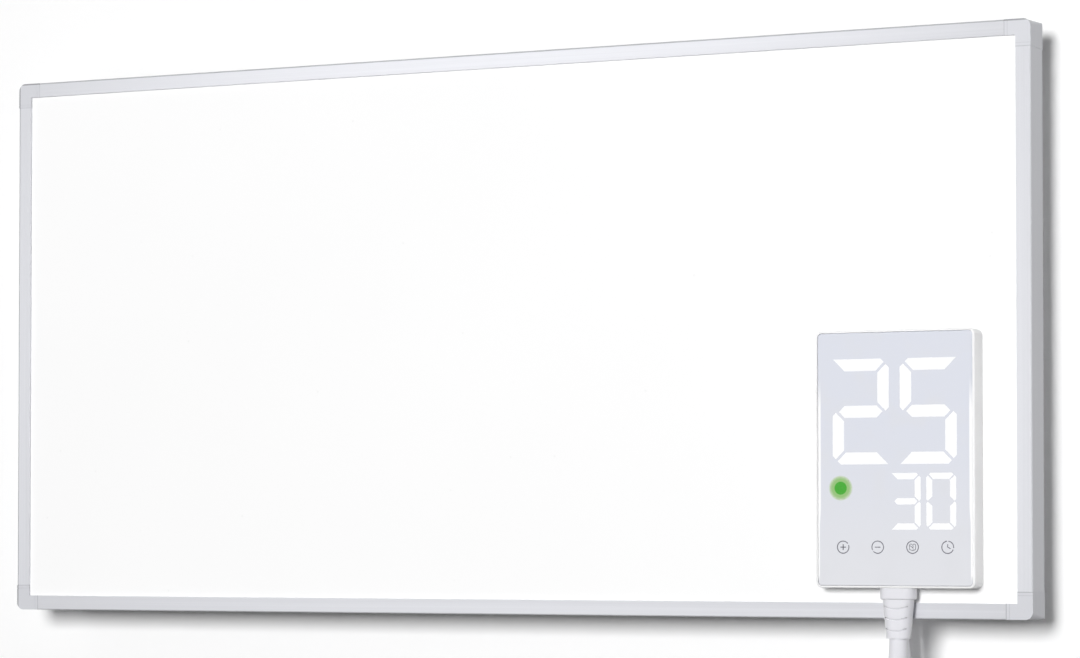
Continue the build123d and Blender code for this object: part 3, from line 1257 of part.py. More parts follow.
def segment_light_guide():
    """The reflector block behind the glass, with a light well for every segment and the pilot light."""
    t_span = (GLASS_BACK_T, GUIDE_BACK_T)
    top, bottom = DISPLAY_TOP + GUIDE_MARGIN, DISPLAY_BOTTOM - GUIDE_MARGIN
    width = 2 * (DISPLAY_RIGHT + GUIDE_MARGIN)
    guide = face_plate(width, top - bottom, GUIDE_RADIUS, t_span, 0, (top + bottom) / 2)
    for row in (LARGE_ROW, SMALL_ROW):
        for x, _ in digit_places(row):
            guide -= digit_segments(x, ALL_SEGMENTS, ALL_SEGMENTS, row, past(t_span))
    return guide - face_rod(PILOT_X, PILOT_Z, PILOT_WELL_RADIUS, past(t_span))


def touch_pads():
    """The conductive foam pads between the glass and the board, one for each touch key."""
    xs = [KEY_SHIFT + (index - (KEY_COUNT - 1) / 2) * KEY_PITCH for index in range(KEY_COUNT)]
    return group([face_rod(x, KEY_Z, KEY_PAD_RADIUS, (GLASS_BACK_T, GUIDE_BACK_T)) for x in xs])


def controller_board():
    """The circuit board, notched round the screw bosses."""
    t_span = (GUIDE_BACK_T, BOARD_BACK_T)
    width = CONTROLLER_WIDTH - 2 * (CONTROLLER_WALL + BOARD_SIDE_GAP)
    top = CONTROLLER_HEIGHT / 2 - CONTROLLER_WALL - BOARD_SIDE_GAP
    middle = (top + BOARD_BOTTOM_Z) / 2
    board = face_plate(width, top - BOARD_BOTTOM_Z, BOARD_RADIUS, t_span, 0, middle)
    for x, z in boss_places():
        board -= face_rod(x, z, BOSS_RADIUS + BOARD_BOSS_GAP, past(t_span))
    return board


def board_part(width, height, z, t_span):
    """A rectangular part in the middle of the board's back."""
    return face_plate(width, height, COMPONENT_RADIUS, t_span, 0, z)


def supply_module():
    """The potted power supply."""
    return board_part(SUPPLY_WIDTH, SUPPLY_HEIGHT, SUPPLY_Z, (BOARD_BACK_T, BOARD_BACK_T + BAY_DEPTH))


def heat_spreader():
    """The aluminium sheet under the triac."""
    t_span = (BOARD_BACK_T, BOARD_BACK_T + SPREADER_THICKNESS)
    return board_part(SUPPLY_WIDTH, SPREADER_HEIGHT, SPREADER_Z, t_span)


def power_triac():
    """The switching triac on its spreader: a body, a holed tab and legs bent to the board."""
    start_t, end_t = BOARD_BACK_T + SPREADER_THICKNESS, BOARD_BACK_T + BAY_DEPTH
    top_z, bottom_z = SPREADER_Z + TRIAC_HEIGHT / 2, SPREADER_Z - TRIAC_HEIGHT / 2
    triac = board_part(TRIAC_WIDTH, TRIAC_HEIGHT, SPREADER_Z, (start_t, end_t))
    tab_t = (start_t, start_t + TRIAC_TAB_THICKNESS)
    tab_z = top_z - TRIAC_TAB_OVERLAP + TRIAC_TAB / 2
    triac += board_part(TRIAC_WIDTH, TRIAC_TAB, tab_z, tab_t)
    triac -= face_rod(0, top_z + TRIAC_TAB / 2, TRIAC_TAB_HOLE_RADIUS, past(tab_t, high=0))
    leg_y = CONTROLLER_FRONT_Y + (start_t + end_t) / 2
    foot_z = CONTROLLER_Z + SPREADER_Z - SPREADER_HEIGHT / 2 - TRIAC_LEG_GAP
    for index in range(TRIAC_LEGS):
        x_span = around(CONTROLLER_X + (index - (TRIAC_LEGS - 1) / 2) * TRIAC_LEG_PITCH, TRIAC_LEG_WIDTH / 2)
        y_span = (leg_y, leg_y + TRIAC_LEG_THICKNESS)
        foot_y = (CONTROLLER_FRONT_Y + BOARD_BACK_T, y_span[1])
        triac += block(x_span, y_span, (foot_z, CONTROLLER_Z + bottom_z + TRIAC_LEG_WIDTH))
        triac += block(x_span, foot_y, (foot_z, foot_z + TRIAC_LEG_WIDTH))
    return triac


def core_offsets():
    """The lead cores' places beside the controller's middle."""
    return [(index - (CORE_COUNT - 1) / 2) * CORE_PITCH for index in range(CORE_COUNT)]


def lead_terminal():
    """The board terminal that takes the lead's cores."""
    end_t = BOARD_BACK_T + BAY_DEPTH
    body = board_part(TERMINAL_WIDTH, TERMINAL_HEIGHT, TERMINAL_Z, (BOARD_BACK_T, end_t))
    for x in core_offsets():
        body -= face_rod(x, TERMINAL_Z, TERMINAL_WELL_RADIUS, (end_t - TERMINAL_WELL_DEPTH, end_t + THROUGH))
    return body


def lead_cores():
    """The lead's insulated cores between the strain relief and the terminal."""
    low = CONTROLLER_BOTTOM_Z + CONTROLLER_WALL + INNER_FLANGE
    high = CONTROLLER_Z + TERMINAL_Z - TERMINAL_HEIGHT / 2
    y = CONTROLLER_FRONT_Y + BOARD_BACK_T + BAY_DEPTH / 2
    return group([post(CONTROLLER_X + x, y, CORE_DIAMETER / 2, (low, high)) for x in core_offsets()])


def temperature_sensor():
    """The sensor bead on two legs behind the vents."""
    z = BOARD_BOTTOM_Z + SENSOR_RISE
    bead_t = BOARD_BACK_T + SENSOR_STAND
    bead = face_rod(SENSOR_X, z, SENSOR_RADIUS, (bead_t, bead_t + SENSOR_LENGTH))
    bead = fillet(bead.faces().sort_by(Axis.Y)[-1].edges(), SENSOR_RADIUS / 2)
    for x in around(SENSOR_X, SENSOR_LEG_SPACING / 2):
        bead += face_rod(x, z, SENSOR_LEG_RADIUS, (BOARD_BACK_T, bead_t + SENSOR_LEG_RADIUS))
    return bead


def magnet_places():
    """Centres (x, z) of the four holding magnets."""
    return [(x, z) for x in around(0, MAGNET_X) for z in MAGNET_ZS]


def controller_back_cover():
    """The back cover with magnet cups, screw holes and the tongue that closes the relief's slot."""
    end_t = CONTROLLER_THICKNESS
    cover = inner_plate(COVER_LIP + GLASS_CLEARANCE, (COVER_T, end_t))
    for x, z in magnet_places():
        cup_t = end_t - MAGNET_THICKNESS - MAGNET_CUP_FLOOR
        cover += face_rod(x, z, MAGNET_RADIUS + MAGNET_CUP_WALL, (cup_t, COVER_T))
        pocket = (end_t - MAGNET_THICKNESS, end_t + THROUGH)
        cover -= face_rod(x, z, MAGNET_RADIUS + MAGNET_CLEARANCE, pocket)
    for x, z in boss_places():
        cover -= face_rod(x, z, COVER_SCREW_RADIUS + SCREW_CLEARANCE, past((COVER_T, end_t)))
        sink = (end_t - COVER_SCREW_HEAD, end_t + THROUGH)
        cover -= face_rod(x, z, COVER_SCREW_HEAD_RADIUS + SCREW_CLEARANCE, sink)
    tongue_y = (NECK_BACK_Y, CONTROLLER_FRONT_Y + end_t)
    tongue_z = (CONTROLLER_BOTTOM_Z, CONTROLLER_BOTTOM_Z + CONTROLLER_WALL)
    return cover + block(around(CONTROLLER_X, NECK_WIDTH / 2), tongue_y, tongue_z)


def controller_magnets():
    """The four magnets that hold the controller on the steel front plate."""
    t_span = (CONTROLLER_THICKNESS - MAGNET_THICKNESS, CONTROLLER_THICKNESS)
    return group([face_rod(x, z, MAGNET_RADIUS, t_span) for x, z in magnet_places()])


def controller_cover_screws():
    """The four cover screws, their heads sunk in the cover."""
    y_head = CONTROLLER_FRONT_Y + CONTROLLER_THICKNESS
    sizes = (COVER_SCREW_RADIUS, COVER_SCREW_HEAD_RADIUS, COVER_SCREW_HEAD, COVER_SCREW_LENGTH)
    return group([screw(CONTROLLER_X + x, CONTROLLER_Z + z, y_head, *sizes) for x, z in boss_places()])


# ---------------------------------------------------------------- the whole heater
def panel_parts():
    """The panel's sub-parts by name."""
    low_cutout, high_cutout = cutout_centres()
    return {
        **frame_legs(),
        **corner_pieces(),
        "front_plate": cover_sheet(PLATE_D, FRONT_PLATE),
        "front_insulating_film": film_sheet(FRONT_FILM_D),
        "heating_film": heating_film(),
        "busbar_upper": busbar(1),
        "busbar_lower": busbar(-1),
        "rear_insulating_film": holed_sheet(REAR_FILM_D),
        "reflector_foil": holed_sheet(FOIL_D),
        "thermal_cutout_upper": thermal_cutout(high_cutout),
        "thermal_cutout_lower": thermal_cutout(low_cutout),
        "internal_wires": internal_wires(),
        "insulation_board": insulation_board(),
        "back_plate": back_plate(),
        "hanger_rail_upper": hanger_rail(HOOK_FLOORS["upper"]),
        "hanger_rail_lower": hanger_rail(HOOK_FLOORS["lower"]),
        "hanger_rivets": hanger_rivets(),
        "terminal_box": terminal_box(),
        "terminal_box_lid": terminal_box_lid(),
        "terminal_box_lid_screws": terminal_box_lid_screws(),
        "terminal_box_fixing_screws": terminal_box_fixing_screws(),
        "terminal_block": terminal_block(),
        "terminal_block_screws": terminal_block_screws(),
        "earth_terminal": earth_terminal(),
        "mains_grommet": mains_grommet(),
        "mains_cord_clamp": mains_cord_clamp(),
        "mains_clamp_screws": mains_clamp_screws(),
        "rear_strain_relief": rear_strain_relief(),
    }


def controller_parts():
    """The controller's sub-parts by name, with its lead."""
    return {
        "controller_housing": controller_housing(),
        "controller_glass": controller_glass(),
        "large_digit_segments": group(digit_inlays(LARGE_ROW)),
        "small_digit_segments": group(digit_inlays(SMALL_ROW)),
        "indicator_lens": indicator_lens(),
        "segment_light_guide": segment_light_guide(),
        "touch_pads": touch_pads(),
        "controller_board": controller_board(),
        "supply_module": supply_module(),
        "heat_spreader": heat_spreader(),
        "power_triac": power_triac(),
        "lead_terminal": lead_terminal(),
        "lead_cores": lead_cores(),
        "temperature_sensor": temperature_sensor(),
        "controller_back_cover": controller_back_cover(),
        "controller_magnets": controller_magnets(),
        "controller_cover_screws": controller_cover_screws(),
        "controller_strain_relief": controller_strain_relief(),
        "controller_lead": controller_lead(),
    }


wall_rails = {"wall_rail_left": wall_rail(-WALL_RAIL_X), "wall_rail_right": wall_rail(WALL_RAIL_X)}
os.makedirs("parts", exist_ok=True)
for name, shape in {**wall_rails, **panel_parts(), **controller_parts()}.items():
    export_step(shape, os.path.join("parts", name + ".step"))
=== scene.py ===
"""Looks of a wall-hung infrared panel heater with a wired touch controller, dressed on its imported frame.

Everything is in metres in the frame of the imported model: +X to the right, the front faces -Y, +Z up, the wall
is Y = 0. The shader tools come first, then the finishes, the pieces that the solids lack, and the stage.
"""

from __future__ import annotations

import json
import logging
import math
from collections.abc import Callable, Sequence
from dataclasses import dataclass
from enum import Enum
from itertools import accumulate, pairwise
from typing import Any, ClassVar

import bmesh
import bpy
from mathutils import Color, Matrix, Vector
from mathutils.kdtree import KDTree

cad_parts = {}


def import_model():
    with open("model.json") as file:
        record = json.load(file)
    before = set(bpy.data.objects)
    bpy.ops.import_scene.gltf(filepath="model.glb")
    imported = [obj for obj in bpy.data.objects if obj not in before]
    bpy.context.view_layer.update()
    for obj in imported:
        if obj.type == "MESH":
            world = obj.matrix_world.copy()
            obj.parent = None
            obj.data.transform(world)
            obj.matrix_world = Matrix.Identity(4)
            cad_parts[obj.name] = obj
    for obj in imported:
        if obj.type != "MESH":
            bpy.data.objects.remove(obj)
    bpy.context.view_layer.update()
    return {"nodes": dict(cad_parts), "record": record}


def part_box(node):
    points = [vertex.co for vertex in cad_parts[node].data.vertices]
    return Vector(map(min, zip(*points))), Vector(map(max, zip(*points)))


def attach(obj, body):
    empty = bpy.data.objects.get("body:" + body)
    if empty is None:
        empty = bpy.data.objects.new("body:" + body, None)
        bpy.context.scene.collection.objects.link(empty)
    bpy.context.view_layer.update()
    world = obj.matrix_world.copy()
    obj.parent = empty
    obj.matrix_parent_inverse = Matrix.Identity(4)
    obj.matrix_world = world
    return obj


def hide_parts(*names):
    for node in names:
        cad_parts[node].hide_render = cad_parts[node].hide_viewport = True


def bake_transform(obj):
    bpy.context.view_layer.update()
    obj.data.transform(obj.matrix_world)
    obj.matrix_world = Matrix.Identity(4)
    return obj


LOG = logging.getLogger("panel_heater")
MM = 0.001
Triple = tuple[float, float, float]
Colour = Triple
Values = dict[str | int, Any] | None
WHITE: Colour = (1.0, 1.0, 1.0)
BLACK: Colour = (0.0, 0.0, 0.0)


def display(red: float, green: float, blue: float) -> Colour:
    """A colour given in display levels from 0 to 255, as linear light."""
    return tuple(Color((red / 255, green / 255, blue / 255)).from_srgb_to_scene_linear())


def shaded(colour: Colour, share: float) -> Colour:
    """The colour made lighter or darker by a share."""
    return (colour[0] * share, colour[1] * share, colour[2] * share)


# ---------------------------------------------------------------- shader tools
def operator(operation: str, swapped: bool = False) -> Callable[[Signal, Number], Signal]:
    """The method behind one of Python's operators on signals.

    Args:
        operation: what the Math node does.
        swapped: whether the other value comes first.

    Returns:
        A method that adds the Math node and gives what comes out of it.
    """

    def method(signal: Signal, other: Number) -> Signal:
        """One sum on the signal and another value."""
        values = (other, signal) if swapped else (signal, other)
        return signal.shader.maths(operation, *values)

    return method


@dataclass(frozen=True)
class Output:
    """What a node of a shader gives.

    Args:
        shader: the shader that it belongs to.
        socket: the node's output.
    """

    shader: Shader
    socket: bpy.types.NodeSocket


class Tint(Output):
    """A colour in a shader."""


class Signal(Output):
    """A grey value in a shader that adds, multiplies and compares like a number."""

    __add__ = __radd__ = operator("ADD")
    __sub__ = operator("SUBTRACT")
    __rsub__ = operator("SUBTRACT", swapped=True)
    __mul__ = __rmul__ = operator("MULTIPLY")
    __truediv__ = operator("DIVIDE")
    __rtruediv__ = operator("DIVIDE", swapped=True)
    at_most = operator("MINIMUM")
    at_least = operator("MAXIMUM")

    def __abs__(self) -> Signal:
        """The value without its sign."""
        return self.shader.maths("ABSOLUTE", self)

    def ramp(self, low: float, high: float) -> Signal:
        """A smooth step from 0 to 1; low may be the larger one.

        Args:
            low: the value at which it leaves 0.
            high: the value at which it reaches 1.

        Returns:
            The step's height at each value.
        """
        settings = {"interpolation_type": "SMOOTHSTEP"}
        inputs = {"Value": self, "From Min": low, "From Max": high}
        return self.shader.signal("Result", "ShaderNodeMapRange", settings, inputs)


Number = float | Signal


class Place(Output):
    """A place in a shader: the point of the surface that is being coloured."""

    def axis(self, letter: str) -> Signal:
        """One coordinate, by the letter X, Y or Z."""
        return self.shader.signal(letter, "ShaderNodeSeparateXYZ", inputs={"Vector": self})

    def stretched(self, scale: Triple) -> Place:
        """The place with each coordinate multiplied."""
        made = self.shader.node("ShaderNodeMapping", inputs={"Vector": self, "Scale": scale})
        return Place(self.shader, made.outputs["Vector"])

    def distance(self, point: Sequence[float]) -> Signal:
        """How far the place is from a point."""
        inputs = {0: self, 1: tuple(point)}
        return self.shader.signal("Value", "ShaderNodeVectorMath", {"operation": "DISTANCE"}, inputs)

    def noise(self, scale: float, detail: float = 2.0, rough: float = 0.5) -> Signal:
        """Soft noise with about one blotch in each 1 / scale metres."""
        inputs = {"Vector": self, "Scale": scale, "Detail": detail, "Roughness": rough}
        return self.shader.signal("Fac", "ShaderNodeTexNoise", inputs=inputs)

    def cell_distance(self, scale: float) -> Signal:
        """The distance from the middle of the nearest cell, with about one cell in each 1 / scale metres."""
        return self.shader.signal("Distance", "ShaderNodeTexVoronoi", inputs={"Vector": self, "Scale": scale})

    def cell_tone(self, scale: float) -> Signal:
        """One random value for each cell."""
        cells = self.shader.node("ShaderNodeTexVoronoi", inputs={"Vector": self, "Scale": scale})
        return self.shader.signal("Red", "ShaderNodeSeparateColor", inputs={"Color": cells.outputs["Color"]})


class Shader:
    """The node tree of a material or of the sky.

    Args:
        tree: the tree, whose own nodes are dropped.
    """

    def __init__(self, tree: bpy.types.NodeTree) -> None:
        """Empties the tree."""
        self.tree = tree
        self.tree.nodes.clear()

    def node(self, kind: str, settings: Values = None, inputs: Values = None) -> bpy.types.Node:
        """Adds a node with its settings first and then its inputs.

        Args:
            kind: the type of the node.
            settings: attributes by name.
            inputs: values or outputs of other nodes, by the input's name or number.

        Returns:
            The new node.
        """
        made = self.tree.nodes.new(kind)
        for name, value in (settings or {}).items():
            setattr(made, name, value)
        for name, value in (inputs or {}).items():
            source = value.socket if isinstance(value, Output) else value
            if isinstance(source, bpy.types.NodeSocket):
                self.tree.links.new(source, made.inputs[name])
            else:
                made.inputs[name].default_value = source
        return made

    def signal(self, output: str, kind: str, settings: Values = None, inputs: Values = None) -> Signal:
        """The grey output of that name on a new node of these settings and inputs."""
        return Signal(self, self.node(kind, settings, inputs).outputs[output])

    def maths(self, operation: str, *values: Number) -> Signal:
        """A sum on one or two values."""
        return self.signal("Value", "ShaderNodeMath", {"operation": operation}, dict(enumerate(values)))

    def place(self) -> Place:
        """The surface point in the object's coordinates."""
        return Place(self, self.node("ShaderNodeTexCoord").outputs["Object"])

    def blend(self, low: Colour | Tint, high: Colour | Tint, share: Number) -> Tint:
        """A colour between two others.

        Args:
            low, high: the colours at a share of 0 and of 1.
            share: how far it is from the first to the second.

        Returns:
            The mixed colour.
        """
        ends = [(*value, 1.0) if isinstance(value, tuple) else value for value in (low, high)]
        made = self.node("ShaderNodeMix", {"data_type": "RGBA"}, {0: share, 6: ends[0], 7: ends[1]})
        return Tint(self, made.outputs[2])

    def crevice(self, width: float, samples: int = 8) -> Signal:
        """Where the piece has gaps and grooves of its own.

        Args:
            width: about how wide they are.
            samples: rays that look for their walls.

        Returns:
            1 deep inside one, 0 on an open face.
        """
        settings = {"samples": samples, "only_local": True}
        return 1.0 - self.signal("AO", "ShaderNodeAmbientOcclusion", settings, {"Distance": width})

    def relief(self, height: Signal, depth: float, strength: float) -> Output:
        """A bumped normal from a height between 0 and 1 that stands for a depth in metres."""
        inputs = {"Height": height, "Distance": depth, "Strength": strength}
        return Output(self, self.node("ShaderNodeBump", inputs=inputs).outputs["Normal"])

    def principled(self, **inputs: Any) -> bpy.types.Node:
        """A principled surface.

        Args:
            **inputs: its inputs by name, with _ for a space; a tuple is a colour.

        Returns:
            Its node.
        """
        named = {}
        for name, value in inputs.items():
            named[name.replace("_", " ")] = (*value, 1.0) if isinstance(value, tuple) else value
        return self.node("ShaderNodeBsdfPrincipled", inputs=named)

    def surface(self, **inputs: Any) -> None:
        """Closes the shader with a principled surface of these inputs."""
        made = self.principled(**inputs)
        self.node("ShaderNodeOutputMaterial", inputs={"Surface": made.outputs["BSDF"]})


def new_material(name: str) -> tuple[bpy.types.Material, Shader]:
    """A material and its shader, still empty.

    Args:
        name: the material's name.

    Returns:
        Both.
    """
    made = bpy.data.materials.new(name)
    made.use_nodes = True
    return made, Shader(made.node_tree)


# ---------------------------------------------------------------- finishes
@dataclass(frozen=True)
class Finish:
    """How a piece's surface looks; each kind adds its own sizes and paints its own shader.

    Args:
        name: the material's name.
        colour: the main colour.
    """

    name: str
    colour: Colour

    def material(self) -> bpy.types.Material:
        """The finish as a material.

        Returns:
            The same material at every call.
        """
        made = bpy.data.materials.get(self.name)
        if made is None:
            made, shader = new_material(self.name)
            self.paint(shader, shader.place())
        return made

    def dress(self, piece: bpy.types.Object) -> None:
        """Gives the whole piece this finish and reports it.

        Args:
            piece: the piece, a mesh.
        """
        piece.data.materials.clear()
        piece.data.materials.append(self.material())
        LOG.info("%s in %s", piece.name, self.name)

    def between(self, shader: Shader, low: float, high: float, share: Number) -> Tint:
        """The main colour at a brightness between two others.

        Args:
            shader: the shader that it is for.
            low, high: the brightness at a share of 0 and of 1.
            share: how far it is from the first to the second.

        Returns:
            The colour.
        """
        return shader.blend(shaded(self.colour, low), shaded(self.colour, high), share)

    def paint(self, shader: Shader, where: Place) -> None:
        """Builds the shader; every kind of finish has its own.

        Args:
            shader: the empty shader.
            where: the point of the surface.
        """
        raise NotImplementedError


@dataclass(frozen=True)
class PaintedSideShade:
    """Painted shade on the panel's outer sides, darker than its front, and a painted shade line along two of
    its front edges.

    Args:
        half_width, half_height: from the panel's middle to its outer sides.
        front: depth of the panel's front face.
        start, full: how far inside the outer sides the painted shade begins and is full.
        share: how bright the painted shade is against the front.
        line: width of the painted shade line along the upper and the left edge.
        edge: how bright that line is against the front.
        fade: the part of a painted line's width over which it is full.
        edge_full, edge_end: how far behind the front face the line is full and has ended.
    """

    half_width: float = 300.0 * MM
    half_height: float = 150.0 * MM
    front: float = -45.0 * MM
    start: float = 0.9 * MM
    full: float = 0.25 * MM
    share: float = 0.82
    line: float = 1.0 * MM
    edge: float = 0.5
    fade: float = 0.6
    edge_full: float = 0.7 * MM
    edge_end: float = 1.5 * MM

    def beside(self, where: Place) -> Signal:
        """How far inside the nearer upright side a place is."""
        return self.half_width - abs(where.axis("X"))

    def above(self, where: Place) -> Signal:
        """How far inside the nearer level side a place is."""
        return self.half_height - abs(where.axis("Z"))

    def frontal(self, where: Place) -> Signal:
        """1 on the front face and its rounded edges, 0 on the sides behind them."""
        return where.axis("Y").ramp(self.front + self.edge_end, self.front + self.edge_full)

    def over(self, shader: Shader, where: Place, base: Tint, colour: Colour) -> Tint:
        """The base colour with the painted shade of the sides and edges laid over it.

        Args:
            shader: the shader that it is for.
            where: the point of the surface.
            base: the piece's own colour.
            colour: the colour of which the painted shade of the sides and the line are darker tones.

        Returns:
            The whole colour.
        """
        # painted shade: the outer sides darker than the front
        rim = self.beside(where).at_most(self.above(where)).ramp(self.start, self.full)
        base = shader.blend(base, shaded(colour, self.share), rim)
        # painted shade: a dark line along the upper and the left front edge
        inward = (where.axis("X") + self.half_width).at_most(self.half_height - where.axis("Z"))
        line = inward.ramp(self.line, self.fade * self.line) * self.frontal(where)
        return shader.blend(base, shaded(colour, self.edge), line)


class Run(Enum):
    """The direction in which a piece was drawn, rolled or pressed, as how stretched its lines are."""

    ACROSS = (6.0, 1500.0, 1500.0)
    UPRIGHT = (1500.0, 1500.0, 6.0)


@dataclass(frozen=True)
class Anodised(Finish):
    """Satin anodised aluminium with fine lines along the extrusion, and painted shade towards the ends of each
    leg.

    Args:
        run: the direction of the extrusion.
        half_length: from the leg's middle to its ends.
        painted_end_shade: how bright the ends are against the middle.
        outline: the painted shade of its outer sides.
    """

    run: Run
    half_length: float
    painted_end_shade: float
    outline: PaintedSideShade

    def paint(self, shader: Shader, where: Place) -> None:
        """Lines of slightly different tone and gloss, a few faint rubbed places, painted shade towards the ends
        and on the outer sides.
        """
        drawn = where.stretched(self.run.value)
        lines = drawn.noise(1.0, detail=3.0, rough=0.6)
        broad = drawn.noise(0.2, detail=1.0)
        rubbed = where.noise(60.0, detail=4.0, rough=0.7).ramp(0.55, 0.8)
        tone = lines * 0.5 + broad * 0.5
        base = self.between(shader, 0.88, 1.1, tone)
        # painted shade: darker towards the leg's ends, so that its middle looks more brightly lit
        along = where.axis("X" if self.run is Run.ACROSS else "Z") / self.half_length
        ends = along * along * (1.0 - self.painted_end_shade)
        base = shader.blend(base, BLACK, ends)
        # painted shade on the outer sides and along the upper and left front edge
        base = self.outline.over(shader, where, base, self.colour)
        rough = 0.38 + 0.14 * lines - 0.05 * rubbed
        normal = shader.relief(lines, depth=0.01 * MM, strength=0.5)
        shader.surface(Base_Color=base, Roughness=rough, Metallic=0.2, Normal=normal)


@dataclass(frozen=True)
class PowderCoat(Finish):
    """Baked powder paint: a faint orange peel, a soft gloss and a few specks.

    Args:
        peel: width of the orange peel's waves.
        gloss: roughness of the paint.
    """

    peel: float = 1.6 * MM
    gloss: float = 0.42

    def paint(self, shader: Shader, where: Place) -> None:
        """Waves in the paint, cloudy tone and dust specks."""
        waves = where.noise(1.0 / self.peel, detail=1.5, rough=0.4)
        clouds = where.noise(9.0)
        specks = where.cell_distance(55.0).ramp(0.05, 0.02)
        base = self.between(shader, 0.985, 1.01, clouds)
        base = shader.blend(base, shaded(self.colour, 0.9), specks * 0.5)
        rough = self.gloss + 0.08 * waves + 0.05 * clouds
        normal = shader.relief(waves - 0.4 * specks, depth=0.03 * MM, strength=0.6)
        shader.surface(Base_Color=base, Roughness=rough, Coat_Weight=0.15, Coat_Roughness=0.25, Normal=normal)


@dataclass(frozen=True)
class ZincSheet(Finish):
    """Hot-dip galvanised steel with its spangle.

    Args:
        spangle: size of a zinc crystal.
        contrast: how much the crystals differ.
    """

    spangle: float = 6.0 * MM
    contrast: float = 0.22

    def paint(self, shader: Shader, where: Place) -> None:
        """Crystals of different tone and gloss, rolling lines and pale storage stains."""
        bent = where.noise(300.0)
        crystals = where.cell_tone(1.0 / self.spangle)
        edges = where.cell_distance(1.0 / self.spangle)
        stains = where.noise(28.0, detail=5.0, rough=0.65).ramp(0.5, 0.75)
        tone = crystals * 0.7 + bent * 0.2 + edges * 0.1
        dark, light = shaded(self.colour, 1 - self.contrast), shaded(self.colour, 1 + self.contrast)
        base = shader.blend(shader.blend(dark, light, tone), (0.78, 0.79, 0.79), stains * 0.3)
        rough = 0.34 + 0.2 * crystals + 0.15 * stains
        normal = shader.relief(tone, depth=0.02 * MM, strength=0.4)
        shader.surface(Base_Color=base, Roughness=rough, Metallic=0.75 - 0.3 * stains, Normal=normal)


@dataclass(frozen=True)
class Moulded(Finish):
    """Injection-moulded plastic with a fine spark-eroded grain.

    Args:
        grain: width of the grain.
        rough: roughness between the grains.
        coat: how polished the skin is.
    """

    grain: float = 0.35 * MM
    rough: float = 0.5
    coat: float = 0.0

    def paint(self, shader: Shader, where: Place) -> None:
        """Grain, cloudy flow marks and rubbed glossier patches."""
        grain = where.noise(1.0 / self.grain, detail=3.0, rough=0.6)
        flow = where.stretched((1.0, 1.0, 0.4)).noise(30.0)
        rubbed = where.noise(90.0, detail=4.0, rough=0.7).ramp(0.58, 0.8)
        base = self.between(shader, 0.96, 1.02, flow * 0.7 + grain * 0.3)
        base = self.trim(shader, where, base)
        rough = self.rough + 0.12 * grain - 0.12 * rubbed
        normal = shader.relief(grain, depth=0.02 * MM, strength=0.5)
        shader.surface(
            Base_Color=base,
            Roughness=rough,
            IOR=1.46,
            Coat_Weight=self.coat,
            Coat_Roughness=0.12,
            Normal=normal,
        )

    def trim(self, shader: Shader, where: Place, base: Tint) -> Tint:
        """Lays over the moulding's colour what else there is on it, here nothing.

        Args:
            shader: the shader that it is for.
            where: the point of the surface.
            base: the moulding's own colour.

        Returns:
            The whole colour.
        """
        return base


@dataclass(frozen=True)
class FrameCorner(Moulded):
    """A moulded corner of the panel's frame, with dirt in its joints to the legs.

    Args:
        outline: the painted shade of the panel's outer sides, in which the corner has a share.
        reach: how far the corner reaches along either leg.
        joint: width of the dark joint at its end.
        seam: where the fine line beside the joint is.
        seam_width: width of that line.
        seam_share: how dark that line is against the joint.
        dirt: how dark the joint is, from 0 to 1.
    """

    outline: PaintedSideShade = PaintedSideShade(share=0.98)
    reach: float = 14.0 * MM
    joint: float = 0.55 * MM
    seam: float = 12.1 * MM
    seam_width: float = 0.3 * MM
    seam_share: float = 0.4
    dirt: float = 0.6

    def trim(self, shader: Shader, where: Place, base: Tint) -> Tint:
        """Lays the painted shade of the outer sides, the dark joint to either leg and the fine line beside it
        over it.
        """
        base = self.outline.over(shader, where, base, self.colour)
        along = self.outline.beside(where).at_least(self.outline.above(where))
        joint = along.ramp(self.reach - self.joint, self.reach - self.outline.fade * self.joint)
        seam = abs(along - self.seam).ramp(self.seam_width, 0.4 * self.seam_width)
        lines = joint.at_least(seam * self.seam_share) * self.outline.frontal(where) * self.dirt
        return shader.blend(base, shaded(self.colour, 0.4), lines)


@dataclass(frozen=True)
class SoftPolymer(Finish):
    """Soft white sheath or rubber: matt, with a pale sheen at its round sides and painted shade in its grooves.

    Args:
        sheen: how strong the pale sheen is.
        rough: roughness of the skin.
        groove: how wide a groove gets painted shade.
    """

    sheen: float
    rough: float
    groove: float = 1.0 * MM

    def paint(self, shader: Shader, where: Place) -> None:
        """A dull skin with extrusion waves, handling marks, a little dust and painted shade in its grooves."""
        skin = where.noise(1600.0, detail=3.0, rough=0.6)
        waves = where.stretched((1.0, 1.0, 0.3)).noise(260.0, detail=1.0)
        marks = where.noise(45.0, detail=4.0, rough=0.65).ramp(0.55, 0.8)
        base = self.between(shader, 1.0, 0.93, marks * 0.6 + skin * 0.2)
        # painted shade: darker where the piece's own grooves and gaps hem it in
        groove_shade = shader.crevice(self.groove).ramp(0.25, 0.8)
        base = shader.blend(base, shaded(self.colour, 0.75), groove_shade)
        rough = self.rough + 0.1 * skin + 0.08 * marks
        facing = shader.signal("Facing", "ShaderNodeLayerWeight", inputs={"Blend": 0.5})
        normal = shader.relief(skin * 0.5 + waves * 0.5, depth=0.02 * MM, strength=0.5)
        shader.surface(
            Base_Color=base,
            Roughness=rough,
            Sheen_Weight=self.sheen,
            Sheen_Roughness=0.35,
            Sheen_Tint=WHITE,
            Coat_Weight=self.sheen * facing.ramp(0.2, 0.9),
            Coat_IOR=2.2,
            Coat_Roughness=0.35,
            Normal=normal,
        )


